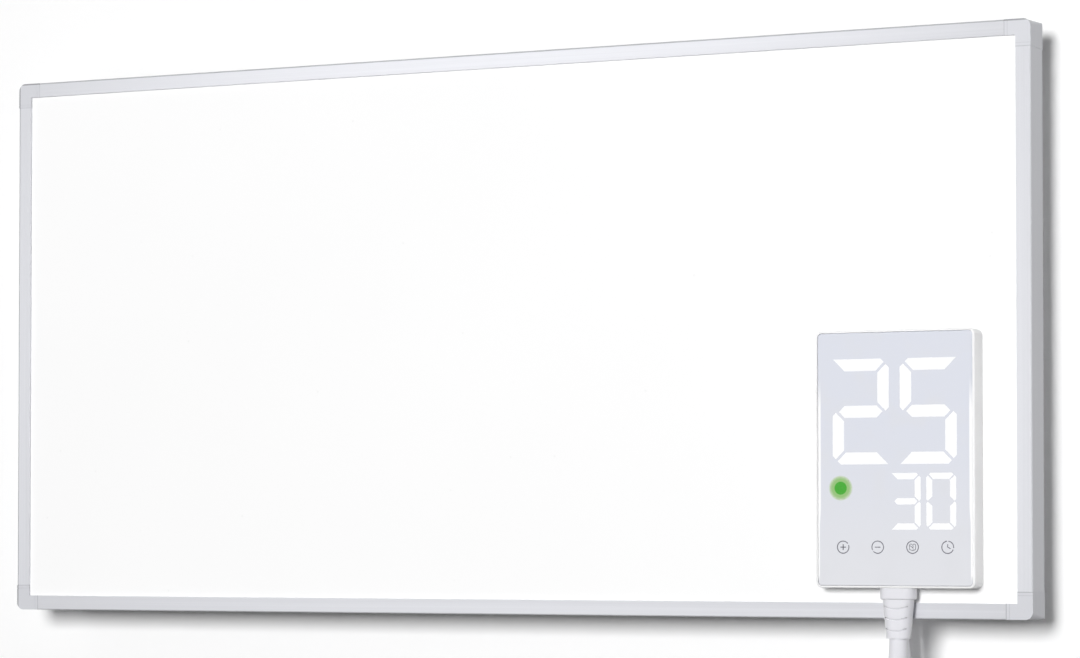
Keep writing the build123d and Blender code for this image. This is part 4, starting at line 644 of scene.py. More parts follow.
@dataclass(frozen=True)
class PlatedMetal(Finish):
    """Plated or rolled bare metal: copper strip, zinc-plated screws, nickel-plated magnets.

    Args:
        rough: roughness of the metal.
        stain: the colour of its tarnish.
        line: width of its tool or rolling lines.
    """

    rough: float
    stain: Colour = (0.5, 0.5, 0.48)
    line: float = 0.25 * MM

    def paint(self, shader: Shader, where: Place) -> None:
        """Tool lines, uneven tarnish and small scratches."""
        lines = where.stretched((0.15, 1.0, 1.0)).noise(1.0 / self.line)
        tarnish = where.noise(180.0, detail=4.0, rough=0.65).ramp(0.45, 0.75)
        scratch = where.stretched((1.0, 1.0, 12.0)).noise(220.0).ramp(0.66, 0.7)
        base = self.between(shader, 0.94, 1.0, lines)
        base = shader.blend(base, self.stain, tarnish * 0.35)
        rough = self.rough + 0.1 * lines + 0.2 * tarnish
        normal = shader.relief(lines * 0.6 - scratch * 0.4, depth=0.01 * MM, strength=0.5)
        shader.surface(Base_Color=base, Roughness=rough, Metallic=1.0 - 0.25 * tarnish, Normal=normal)


@dataclass(frozen=True)
class Foil(Finish):
    """Bright crinkled foil."""

    def paint(self, shader: Shader, where: Place) -> None:
        """Sharp creases between smooth facets."""
        facets = where.cell_distance(70.0)
        small = where.cell_distance(260.0)
        tone = facets * 0.7 + small * 0.3
        base = self.between(shader, 0.88, 1.05, tone)
        normal = shader.relief(tone, depth=0.3 * MM, strength=0.5)
        shader.surface(Base_Color=base, Roughness=0.14 + 0.2 * small, Metallic=1.0, Normal=normal)


@dataclass(frozen=True)
class Film(Finish):
    """Thin amber insulating film, slightly wavy, with caught air."""

    def paint(self, shader: Shader, where: Place) -> None:
        """Waves, bubbles and a tint that deepens with the waves."""
        waves = where.noise(22.0)
        bubbles = where.cell_distance(90.0).ramp(0.14, 0.05)
        base = self.between(shader, 0.85, 1.0, waves)
        base = shader.blend(base, (0.95, 0.93, 0.85), bubbles * 0.5)
        normal = shader.relief(waves + 0.2 * bubbles, depth=0.2 * MM, strength=0.4)
        shader.surface(Base_Color=base, Roughness=0.12 + 0.15 * waves, Coat_Weight=0.6, Normal=normal)


@dataclass(frozen=True)
class CarbonPrint(Finish):
    """Screen-printed carbon ink with the mesh marks of its screen.

    Args:
        mesh: pitch of the printing screen.
    """

    mesh: float = 0.5 * MM

    def paint(self, shader: Shader, where: Place) -> None:
        """A woven screen mark, ink clouds and pinholes."""
        weave = [self.threads(where.axis(letter)) for letter in "XZ"]
        mark = weave[0].at_least(weave[1])
        ink = where.noise(120.0, detail=4.0, rough=0.6)
        pinholes = where.cell_distance(240.0).ramp(0.07, 0.03)
        base = self.between(shader, 0.6, 1.7, ink * 0.7 + mark * 0.3)
        base = shader.blend(base, (0.45, 0.4, 0.28), pinholes * 0.6)
        normal = shader.relief(mark * 0.5 + ink * 0.5, depth=0.02 * MM, strength=0.6)
        shader.surface(Base_Color=base, Roughness=0.62 + 0.2 * ink, Normal=normal)

    def threads(self, across: Signal) -> Signal:
        """Waves at the screen's pitch."""
        wave = across.shader.maths("SINE", across * (math.tau / self.mesh))
        return wave * 0.5 + 0.5


@dataclass(frozen=True)
class PressedFibre(Finish):
    """Dry pressed mineral fibre, or dense foam: matt and flecked.

    Args:
        fleck: the colour of single fibres.
        fibre: length of a fibre.
    """

    fleck: Colour = (0.6, 0.55, 0.42)
    fibre: float = 3.0 * MM

    def paint(self, shader: Shader, where: Place) -> None:
        """Two crossed fibre layers over a cloudy ground."""
        level = where.stretched((1.0, 1.0, 9.0)).noise(1.0 / self.fibre, detail=4.0, rough=0.7)
        steep = where.stretched((9.0, 1.0, 1.0)).noise(1.0 / self.fibre, detail=4.0, rough=0.7)
        clumps = where.noise(35.0, detail=4.0, rough=0.6)
        fibres = level.at_least(steep)
        base = self.between(shader, 0.88, 1.0, clumps)
        base = shader.blend(base, self.fleck, fibres.ramp(0.58, 0.75) * 0.6)
        normal = shader.relief(fibres * 0.6 + clumps * 0.4, depth=0.25 * MM, strength=0.8)
        shader.surface(Base_Color=base, Roughness=0.92, Sheen_Weight=0.1, Normal=normal)


@dataclass(frozen=True)
class CircuitBoard(Finish):
    """Green solder mask over copper tracks.

    Args:
        pitch: spacing of the tracks.
    """

    pitch: float = 2.54 * MM

    def paint(self, shader: Shader, where: Place) -> None:
        """Raised tracks under the mask, tinned pads on a grid and the glass weave."""
        pads = where.stretched((1.0, 0.01, 1.0)).cell_distance(1.0 / self.pitch).ramp(0.24, 0.18)
        lanes = where.stretched((0.35, 0.01, 1.0)).cell_tone(1.0 / self.pitch).ramp(0.45, 0.5)
        weave = where.noise(1800.0)
        base = self.between(shader, 0.75, 1.35, lanes * 0.8 + weave * 0.2)
        base = shader.blend(base, (0.62, 0.62, 0.6), pads)
        normal = shader.relief(lanes * 0.4 + pads * 0.5 + weave * 0.1, depth=0.05 * MM, strength=0.7)
        shader.surface(Base_Color=base, Roughness=0.3 + 0.15 * weave, Metallic=pads * 0.8, Normal=normal)


@dataclass(frozen=True)
class TouchGlass(Finish):
    """Back-printed touch glass: a pale field that warms towards its foot, with a painted highlight down each
    side and the pilot light's painted glow round its lens.

    Args:
        foot: the colour at the lower end.
        low, high: lower and upper corner of the glass.
        pilot: middle of the pilot light.
        pilot_radius: radius of its lens.
        pilot_tint: the colour of its light in the glass round the lens.
        halo: how far that light reaches.
        band: width of the painted highlight down each side.
        slim: width of its lower part, as a share of the band.
        rise, slimming, fall: between which shares of the way down the painted highlights brighten, grow slim
            and fade.
    """

    foot: Colour
    low: Vector
    high: Vector
    pilot: Vector
    pilot_radius: float
    pilot_tint: Colour
    halo: float = 0.9 * MM
    band: float = 1.9 * MM
    slim: float = 0.65
    rise: tuple[float, float] = (0.17, 0.32)
    slimming: tuple[float, float] = (0.68, 0.78)
    fall: tuple[float, float] = (0.955, 0.985)

    def paint(self, shader: Shader, where: Place) -> None:
        """The printed field, the painted highlights and the painted glow of the pilot light, under a clear
        polished coat.
        """
        height = self.high.z - self.low.z
        down = (self.high.z - where.axis("Z")) / height
        middle = (self.low.x + self.high.x) / 2
        inward = (self.high.x - self.low.x) / 2 - abs(where.axis("X") - middle)
        grain = where.noise(2600.0, detail=3.0, rough=0.6)
        clouds = where.noise(55.0)
        base = shader.blend(self.colour, self.foot, down.ramp(0.35, 1.0))
        base = shader.blend(base, shaded(self.foot, 0.97), clouds.ramp(0.45, 0.75) * 0.5 + grain * 0.1)
        # painted highlight: a white band down each side where the curved edge of the glass would catch the
        # light
        opening = down.ramp(*self.rise) * (1.0 - down.ramp(*self.fall))
        width = self.band * (1.0 - (1.0 - self.slim) * down.ramp(*self.slimming))
        painted_highlights = (inward / width).ramp(1.0, 0.7) * opening
        base = shader.blend(base, (0.97, 0.97, 0.98), painted_highlights)
        # painted light: the pilot light's glow in the glass round its lens
        spill = where.distance(self.pilot).ramp(self.pilot_radius + self.halo, self.pilot_radius)
        base = shader.blend(base, self.pilot_tint, spill)
        smear = where.stretched((1.0, 1.0, 0.3)).noise(120.0, detail=4.0, rough=0.6).ramp(0.5, 0.8)
        shader.surface(
            Base_Color=base,
            Roughness=0.16 + 0.1 * smear,
            Coat_Weight=0.5,
            Coat_Roughness=0.04,
            Normal=shader.relief(grain, depth=0.004 * MM, strength=0.3),
        )


@dataclass(frozen=True)
class LitSegments(Finish):
    """White lit segments: even light with a faint diffuser grain."""

    def paint(self, shader: Shader, where: Place) -> None:
        """Light that falls off a little between the lamps behind the diffuser."""
        grain = where.noise(2200.0)
        lamps = where.cell_distance(160.0).ramp(0.2, 0.7)
        light = shader.blend(WHITE, (0.97, 0.98, 1.0), lamps * 0.6 + grain * 0.4)
        shader.surface(
            Base_Color=shaded(self.colour, 0.04),
            Roughness=0.2 + 0.1 * grain,
            Emission_Color=light,
            Emission_Strength=0.95,
            Normal=shader.relief(grain, depth=0.005 * MM, strength=0.3),
        )


@dataclass(frozen=True)
class PilotLight(Finish):
    """A green pilot light: a bright core in a ring that grows paler outwards.

    Args:
        ring, rim: the colour of the ring round the core and at its outer edge.
        centre: middle of the lens.
        core: radius of the bright core.
    """

    ring: Colour
    rim: Colour
    centre: Vector
    core: float = 3.3 * MM

    def paint(self, shader: Shader, where: Place) -> None:
        """The lens glows by its distance from the middle."""
        outward = where.distance(self.centre)
        facets = where.cell_distance(900.0)
        inner = outward.ramp(self.core * 1.08, self.core * 0.92)
        ring = shader.blend(self.ring, self.rim, outward.ramp(self.core * 1.3, self.core * 1.8))
        glow = shader.blend(ring, self.colour, inner)
        glow = shader.blend(glow, WHITE, facets * 0.02)
        shader.surface(
            Base_Color=shaded(self.colour, 0.02),
            Roughness=0.2 + 0.1 * facets,
            Emission_Color=glow,
            Emission_Strength=0.92,
            Coat_Weight=0.3,
            Normal=shader.relief(facets, depth=0.01 * MM, strength=0.3),
        )


@dataclass(frozen=True)
class PrintedInk(Finish):
    """Flat grey ink of the key symbols."""

    def paint(self, shader: Shader, where: Place) -> None:
        """Slightly uneven ink."""
        ink = where.noise(4000.0, detail=3.0, rough=0.6)
        base = self.between(shader, 0.9, 1.1, ink)
        normal = shader.relief(ink, depth=0.005 * MM, strength=0.4)
        shader.surface(Base_Color=base, Roughness=0.5 + 0.1 * ink, Normal=normal)


# ---------------------------------------------------------------- pieces that the solids lack
def linked(name: str, data: bpy.types.ID) -> bpy.types.Object:
    """A new object in the scene, at the origin.

    Args:
        name: its name.
        data: its mesh, curve, light or camera.

    Returns:
        The object.
    """
    piece = bpy.data.objects.new(name, data)
    bpy.context.scene.collection.objects.link(piece)
    return piece


def finished(name: str, mesh: bmesh.types.BMesh, finish: Finish) -> bpy.types.Object:
    """Turns a built mesh into a dressed piece of the scene.

    Args:
        name: the piece's name.
        mesh: its mesh, which is freed.
        finish: its finish.

    Returns:
        The piece.
    """
    bmesh.ops.recalc_face_normals(mesh, faces=mesh.faces)
    data = bpy.data.meshes.new(name)
    mesh.to_mesh(data)
    mesh.free()
    piece = linked(name, data)
    finish.dress(piece)
    return piece


@dataclass(frozen=True)
class Stroke:
    """One drawn line of a symbol.

    Args:
        points: (right, up) points in millimetres from the symbol's middle.
        width: width of the line in millimetres.
        closed: whether the end joins the start.
    """

    ring: ClassVar[float] = 3.08  # radius in millimetres of the ring round a sign
    arc_step: ClassVar[float] = 7.5  # degrees of an arc's longest step

    points: Sequence[tuple[float, float]]
    width: float = 0.5
    closed: bool = False

    @classmethod
    def arc(cls, start: float, turn: float) -> Stroke:
        """The ring round a sign, or a part of it.

        Args:
            start: the angle at which it starts, in degrees.
            turn: how far it goes round; a full turn closes it.

        Returns:
            Its line.
        """
        steps = round(turn / cls.arc_step)
        closed = turn >= 360
        count = steps if closed else steps + 1
        angles = [math.radians(start + turn * index / steps) for index in range(count)]
        points = [(cls.ring * math.cos(angle), cls.ring * math.sin(angle)) for angle in angles]
        return cls(points, closed=closed)

    def sides(self) -> list[tuple[Vector, Vector]]:
        """Where the line's edges are.

        Returns:
            The left and the right edge point beside each point of the line.
        """
        line = [Vector(point) for point in self.points]
        edges = []
        for index, here in enumerate(line):
            before = line[index - 1] if index or self.closed else here
            after = line[(index + 1) % len(line)] if index < len(line) - 1 or self.closed else here
            along = (after - before).normalized()
            aside = Vector((-along.y, along.x)) * (self.width / 2)
            edges.append((here + aside, here - aside))
        return edges

    def add(self, mesh: bmesh.types.BMesh, origin: Vector, thickness: float) -> None:
        """Adds the line as a flat bar whose back lies in the plane of the origin.

        Args:
            mesh: the mesh that takes it.
            origin: the symbol's middle, in metres.
            thickness: how far the bar stands out to the front.
        """
        edges = [
            [mesh.verts.new(origin + Vector((point.x * MM, 0.0, point.y * MM))) for point in pair]
            for pair in self.sides()
        ]
        if self.closed:
            edges.append(edges[0])
        flat = [mesh.faces.new((*near, *reversed(far))) for near, far in pairwise(edges)]
        raised = bmesh.ops.extrude_face_region(mesh, geom=flat)["geom"]
        front = [part for part in raised if isinstance(part, bmesh.types.BMVert)]
        bmesh.ops.translate(mesh, verts=front, vec=(0.0, -thickness, 0.0))


class Symbol(Enum):
    """The four key symbols, from left to right, each with its strokes."""

    PLUS = (
        Stroke.arc(36, 344),
        Stroke([(-1.5, 0), (1.5, 0)]),
        Stroke([(0, -1.5), (0, 1.5)]),
    )
    MINUS = (Stroke.arc(222, 346), Stroke([(-1.45, 0), (1.45, 0)]))
    MODE = (
        Stroke.arc(0, 360),
        Stroke(
            (
                (-1.7, 0.9), (-1.4, 1.45), (-0.8, 1.6), (0, 1.05), (0.8, 1.6), (1.4, 1.45), (1.65, 0.9),
                (1.6, -1.0), (1.1, -1.35), (0, -1.7), (-1.0, -1.35), (-1.6, -1.05),
            ),
            0.34,
            True,
        ),
        Stroke([(-1.35, 0.85), (0.2, -0.3)], 0.36),
        Stroke([(0.3, 0.9), (0.3, -1.3)], 0.3),
    )
    TIMER = (
        Stroke.arc(97, 241),
        Stroke.arc(-8, 91),
        Stroke([(0, 1.6), (-0.05, 0.15), (1.5, -0.75)]),
    )


@dataclass(frozen=True)
class KeySymbols:
    """The printed symbols over the touch keys.

    Args:
        ink: their finish.
        pad_radius: radius of the pads behind the glass, which mark the keys.
        proud: how far the ink stands in front of the glass.
    """

    ink: Finish
    pad_radius: float = 3.5 * MM
    proud: float = 0.03 * MM

    def build(self) -> None:
        """Prints each symbol in front of its touch pad."""
        low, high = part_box("touch_pads")
        face_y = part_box("controller_glass")[0].y
        first, last = low.x + self.pad_radius, high.x - self.pad_radius
        for index, symbol in enumerate(Symbol):
            x = first + (last - first) * index / (len(Symbol) - 1)
            self.print_symbol(symbol, Vector((x, face_y, (low.z + high.z) / 2)))

    def print_symbol(self, symbol: Symbol, middle: Vector) -> None:
        """Makes one symbol as a thin raised print.

        Args:
            symbol: which one.
            middle: its middle, on the face of the glass.
        """
        mesh = bmesh.new()
        for stroke in symbol.value:
            stroke.add(mesh, middle, self.proud)
        piece = finished(f"key_symbol_{symbol.name.lower()}", mesh, self.ink)
        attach(piece, "controller")


@dataclass(frozen=True)
class RivetMandrels:
    """The broken-off mandrel that shows in the middle of each blind rivet.

    Args:
        finish: their finish.
        count: rivets on each hanger rail.
        end_inset: from a rail's end to its first rivet.
        top_inset: from a rail's upper edge down to its rivets.
        radius, height: size of the stub.
        profile: its outline from its foot to the middle of its dished end, in radii and heights.
        steps: how many flats go round it.
    """

    finish: Finish
    count: int = 4
    end_inset: float = 15.0 * MM
    top_inset: float = 8.4 * MM
    radius: float = 0.95 * MM
    height: float = 0.35 * MM
    profile: Sequence[tuple[float, float]] = (
        (0.0, -0.5),
        (1.0, -0.5),
        (1.0, 0.7),
        (0.86, 1.0),
        (0.55, 0.8),
        (0.0, 0.8),
    )
    steps: int = 20

    def build(self) -> None:
        """Makes all stubs as one piece on the panel's back."""
        mesh = bmesh.new()
        head_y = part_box("hanger_rivets")[1].y
        for rail in ("hanger_rail_upper", "hanger_rail_lower"):
            low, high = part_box(rail)
            first = low.x + self.end_inset
            pitch = (high.x - self.end_inset - first) / (self.count - 1)
            for index in range(self.count):
                self.add_stub(mesh, Vector((first + index * pitch, head_y, high.z - self.top_inset)))
        bmesh.ops.remove_doubles(mesh, verts=mesh.verts, dist=0.01 * self.radius)
        piece = finished("rivet_mandrels", mesh, self.finish)
        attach(piece, "panel")

    def add_stub(self, mesh: bmesh.types.BMesh, foot: Vector) -> None:
        """Adds one stub, whose profile is turned about its axis.

        Args:
            mesh: the mesh that takes it.
            foot: the middle of the rivet's head.
        """
        outline = [Vector((out * self.radius, rise * self.height, 0.0)) for out, rise in self.profile]
        points = [mesh.verts.new(foot + point) for point in outline]
        edges = [mesh.edges.new(pair) for pair in pairwise(points)]
        bmesh.ops.spin(
            mesh,
            geom=[*points, *edges],
            cent=foot,
            axis=(0.0, 1.0, 0.0),
            angle=math.tau,
            steps=self.steps,
            use_merge=True,
        )


@dataclass(frozen=True)
class Lead:
    """The free lead from the controller, round its loop, to the terminal box on the panel's back.

    Args:
        finish: its finish.
        loop: its points between the two straight ends, as how far right of the entries' middle, the share of
            the way from the front entry's depth to the rear one's, and the height, in millimetres.
        front_turn, rear_turn: heights in millimetres where the straight ends stop.
        diameter: of the sheath.
        length: of the solid tube between its two seats.
        seat: how deep each end sits in its strain relief.
        held: a share of its length; two places that far from either end are worked out and not used.
        line_steps, section_steps: how finely its line and its round section are divided.
    """

    finish: Finish
    loop: Sequence[Triple] = (
        (-32.0, 0.01, -235.0),
        (-56.5, 0.08, -275.0),
        (-50.0, 0.22, -315.0),
        (-20.0, 0.40, -338.5),
        (20.0, 0.60, -338.5),
        (50.0, 0.78, -315.0),
        (56.5, 0.92, -275.0),
        (32.0, 0.99, -235.0),
    )
    front_turn: float = -198.0
    rear_turn: float = -196.0
    diameter: float = 9.3 * MM
    length: float = 481.3 * MM
    seat: float = 3.0 * MM
    held: float = 0.2
    line_steps: int = 14
    section_steps: int = 6

    def route(self) -> list[Vector]:
        """The way that the lead takes.

        Returns:
            The points that it follows, from the controller to the terminal box.
        """
        front, rear = [self.entry(name) for name in ("controller_strain_relief", "rear_strain_relief")]
        points = [front, Vector((front.x, front.y, self.front_turn * MM))]
        for right, share, z in self.loop:
            x = (front.x + rear.x) / 2 + right * MM
            points.append(Vector((x, front.y + share * (rear.y - front.y), z * MM)))
        return [*points, Vector((rear.x, rear.y, self.rear_turn * MM)), rear]

    def entry(self, relief: str) -> Vector:
        """Where the lead ends inside a strain relief."""
        low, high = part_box(relief)
        return Vector(((low.x + high.x) / 2, (low.y + high.y) / 2, low.z + self.seat))

    def spline(self, bevel: float) -> bpy.types.Object:
        """The lead's line as a smooth curve.

        Args:
            bevel: radius of its round section, or 0 for the bare line.

        Returns:
            The curve's object.
        """
        curve = bpy.data.curves.new("lead_line", "CURVE")
        curve.dimensions = "3D"
        curve.resolution_u = self.line_steps
        curve.bevel_depth = bevel
        curve.bevel_resolution = self.section_steps
        curve.use_fill_caps = True
        line = curve.splines.new("NURBS")
        route = self.route()
        line.points.add(len(route) - 1)
        for point, place in zip(line.points, route):
            point.co = (*place, 1.0)
        line.order_u = 3
        line.use_endpoint_u = True
        return linked("lead_line", curve)

    def sampled(self, bevel: float) -> bpy.types.Mesh:
        """The curve turned into a mesh.

        Args:
            bevel: radius of its round section, or 0 for vertices that follow the line.

        Returns:
            The mesh.
        """
        line = self.spline(bevel)
        mesh = bpy.data.meshes.new_from_object(line)
        bpy.data.objects.remove(line)
        return mesh

    def build(self) -> None:
        """Makes the sheath as a smooth tube that bends between the panel and the controller."""
        path = [vertex.co.copy() for vertex in self.sampled(0.0).vertices]
        data = self.sampled(self.diameter / 2)
        data.name = "lead_sheath"
        self.close_ends(data)
        piece = linked("lead_sheath", data)
        self.finish.dress(piece)
        self.bend_by_length(piece, path)
        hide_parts("controller_lead")
        self.relief_foot()

    def close_ends(self, data: bpy.types.Mesh) -> None:
        """Joins the two end caps to the tube, which alone is smooth.

        Args:
            data: the sheath's mesh.
        """
        mesh = bmesh.new()
        mesh.from_mesh(data)
        bmesh.ops.remove_doubles(mesh, verts=mesh.verts, dist=0.001 * self.diameter)
        for face in mesh.faces:
            face.smooth = len(face.verts) == 4
        mesh.to_mesh(data)
        mesh.free()

    def bend_by_length(self, sheath: bpy.types.Object, path: Sequence[Vector]) -> None:
        """Lays every point of the sheath out straight along its length, then puts each back where it was.

        Args:
            sheath: the tube, a mesh.
            path: the points of its line, from the controller to the panel.
        """
        vertices = sheath.data.vertices
        shape = [vertex.co.copy() for vertex in vertices]
        run = [0.0, *accumulate((after - before).length for before, after in pairwise(path))]
        nearest = KDTree(len(path))
        for index, point in enumerate(path):
            nearest.insert(point, index)
        nearest.balance()
        for vertex in vertices:
            point, index, _ = nearest.find(vertex.co)
            tangent = (path[min(index + 1, len(path) - 1)] - path[max(index - 1, 0)]).normalized()
            vertex.co = (run[index] + (vertex.co - point).dot(tangent), 0.0, 0.0)
        near_controller = Vector((self.held * run[-1], 0.0, 0.0))
        near_panel = Vector(((1.0 - self.held) * run[-1], 0.0, 0.0))
        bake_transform(sheath)
        for vertex, place in zip(vertices, shape):
            vertex.co = place

    def relief_foot(self) -> Vector:
        """Where the lead leaves the controller's strain relief."""
        entry = self.entry("controller_strain_relief")
        return Vector((entry.x, entry.y, entry.z - self.seat))


# ---------------------------------------------------------------- stage, light and camera
@dataclass(frozen=True)
class Lamp:
    """A soft square lamp.

    Args:
        name: its name.
        place: where it stands.
        aim: the point that it faces.
        width: its side.
        level: how bright it makes a white surface that faces it at the aim.
        mirrored: whether polished pieces mirror it.
    """

    name: str
    place: Triple
    aim: Triple
    width: float
    level: float
    mirrored: bool = True

    def build(self) -> None:
        """Hangs the lamp."""
        way = Vector(self.aim) - Vector(self.place)
        light = bpy.data.lights.new(self.name, "AREA")
        light.size = self.width
        light.energy = self.level * math.pi**2 * way.length_squared
        lamp = linked(self.name, light)
        lamp.location = self.place
        lamp.rotation_euler = way.to_track_quat("-Z", "Y").to_euler()
        lamp.visible_camera = False
        lamp.visible_glossy = self.mirrored


@dataclass(frozen=True)
class Backdrop:
    """A white sheet that only the camera sees, and only from its front: the wall or the floor.

    Args:
        name: its name.
        corners: its corners, so listed that its front faces the viewer.
        glow: light added to what falls on it.
        colour: of the sheet.
    """

    name: str
    corners: Sequence[Triple]
    glow: float
    colour: Colour = (0.94, 0.94, 0.94)

    def build(self) -> None:
        """Hangs the sheet."""
        data = bpy.data.meshes.new(self.name)
        data.from_pydata([Vector(corner) for corner in self.corners], [], [tuple(range(len(self.corners)))])
        sheet = linked(self.name, data)
        data.materials.append(self.material())

    def material(self) -> bpy.types.Material:
        """Matt white paint, clear to every ray but the camera's and from behind.

        Returns:
            The material.
        """
        made, shader = new_material(self.name)
        paint = shader.place().noise(300.0)
        painted = shader.principled(
            Base_Color=shader.blend(shaded(self.colour, 0.995), self.colour, paint),
            Roughness=0.9,
            Specular_IOR_Level=0.1,
            Emission_Color=self.colour,
            Emission_Strength=self.glow,
        )
        clear = shader.node("ShaderNodeBsdfTransparent")
        seen = shader.signal("Is Camera Ray", "ShaderNodeLightPath")
        behind = shader.signal("Backfacing", "ShaderNodeNewGeometry")
        mix = {"Fac": seen * (1.0 - behind), 1: clear.outputs["BSDF"], 2: painted.outputs["BSDF"]}
        mixed = shader.node("ShaderNodeMixShader", inputs=mix)
        shader.node("ShaderNodeOutputMaterial", inputs={"Surface": mixed.outputs["Shader"]})
        return made


@dataclass(frozen=True)
class GapSeal:
    """A dark strip round the gap behind the panel, which keeps scattered light from behind off the wall.

    Args:
        half_width, half_height: size of the ring that it forms.
        front, back: from where to where it reaches in depth.
    """

    half_width: float = 286.0 * MM
    half_height: float = 147.0 * MM
    front: float = -25.0 * MM
    back: float = -0.3 * MM

    def build(self) -> None:
        """Hangs the strip, which neither the camera, a mirrored ray nor a lamp meets."""
        wide, high = self.half_width, self.half_height
        ring = [(-wide, -high), (wide, -high), (wide, high), (-wide, high)]
        points = [Vector((x, y, z)) for y in (self.front, self.back) for x, z in ring]
        data = bpy.data.meshes.new("gap_seal")
        data.from_pydata(points, [], [(i, (i + 1) % 4, (i + 1) % 4 + 4, i + 4) for i in range(4)])
        strip = linked("gap_seal", data)
        black, shader = new_material("gap_seal")
        shader.surface(Base_Color=(0.01, 0.01, 0.01), Roughness=1.0)
        data.materials.append(black)
        for ray in ("camera", "glossy", "shadow", "transmission"):
            setattr(strip, f"visible_{ray}", False)


@dataclass(frozen=True)
class Studio:
    """The white room: sky light, lamps, the wall and the floor.

    Args:
        sky: how bright the surrounding light is on a white surface.
        mirrored_foot, mirrored_top: how bright it is where a polished piece mirrors it, low and high.
        floor_z: height of the floor.
        reach: half the size of the wall and the floor.
    """

    sky: float = 0.15
    mirrored_foot: float = 0.55
    mirrored_top: float = 1.1
    floor_z: float = -0.62
    reach: float = 6.0

    def build(self) -> None:
        """Sets up the light and the two white sheets."""
        self.surround()
        key, back = (0.48, -3.9, 0.48), (-1.5, 3.6, 0.9)
        Lamp("key", key, aim=(0.0, -0.04, 0.0), width=0.92, level=0.93, mirrored=False).build()
        for name, side in (("side_right", 1), ("side_left", -1)):
            place, aim = (side * 3.2, 0.9, 0.4), (side * 0.3, -0.04, 0.0)
            Lamp(name, place, aim, width=1.6, level=0.41, mirrored=False).build()
        Lamp("back", back, aim=(0.0, 0.0, 0.0), width=1.8, level=0.65).build()
        GapSeal().build()
        far, floor = self.reach, self.floor_z
        behind = 0.2 * MM
        wall = [(-far, behind, floor), (far, behind, floor), (far, behind, far), (-far, behind, far)]
        Backdrop("wall", wall, glow=0.04).build()
        ground = [(-far, -far, floor), (far, -far, floor), (far, far, floor), (-far, far, floor)]
        Backdrop("floor", ground, glow=0.95).build()

    def surround(self) -> None:
        """Sets up the sky: even for matt surfaces, brighter upwards for mirrored light, white to the eye."""
        world = bpy.data.worlds.new("studio")
        bpy.context.scene.world = world
        world.use_nodes = True
        shader = Shader(world.node_tree)
        seen = shader.signal("Is Camera Ray", "ShaderNodeLightPath")
        mirrored = shader.signal("Is Glossy Ray", "ShaderNodeLightPath")
        upward = Place(shader, shader.node("ShaderNodeTexCoord").outputs["Generated"]).axis("Z")
        reflected = self.mirrored_foot + (self.mirrored_top - self.mirrored_foot) * upward.ramp(-0.8, 0.8)
        level = self.sky + mirrored * (reflected - self.sky)
        level = level + seen * (1.0 - level)
        light = shader.node("ShaderNodeBackground", inputs={"Color": (*WHITE, 1.0), "Strength": level})
        shader.node("ShaderNodeOutputWorld", inputs={"Surface": light.outputs["Background"]})


@dataclass(frozen=True)
class Viewpoint:
    """Where the camera stands.

    Args:
        sensor: width of the sensor in millimetres.
        lens: focal length in millimetres.
        shift: upward shift of the picture, in widths.
        place: the camera's position.
        pitch: upward turn in degrees.
        yaw: turn about the vertical in degrees.
    """

    sensor: float = 36.0
    lens: float = 115.834
    shift: float = 0.10
    place: Triple = (0.81695, -1.70918, -0.10859)
    pitch: float = 1.642
    yaw: float = 25.321

    def build(self) -> None:
        """Sets up the camera."""
        data = bpy.data.cameras.new("camera")
        data.sensor_width = self.sensor
        data.lens = self.lens
        data.shift_y = self.shift
        camera = linked("camera", data)
        camera.location = self.place
        camera.rotation_euler = (math.radians(90 + self.pitch), 0.0, math.radians(self.yaw))
        bpy.context.scene.camera = camera


# ---------------------------------------------------------------- the whole heater
def by_name(*finishes: Finish) -> dict[str, Finish]:
    """The finishes by their names, which are those of the record's material slots."""
    return {finish.name: finish for finish in finishes}


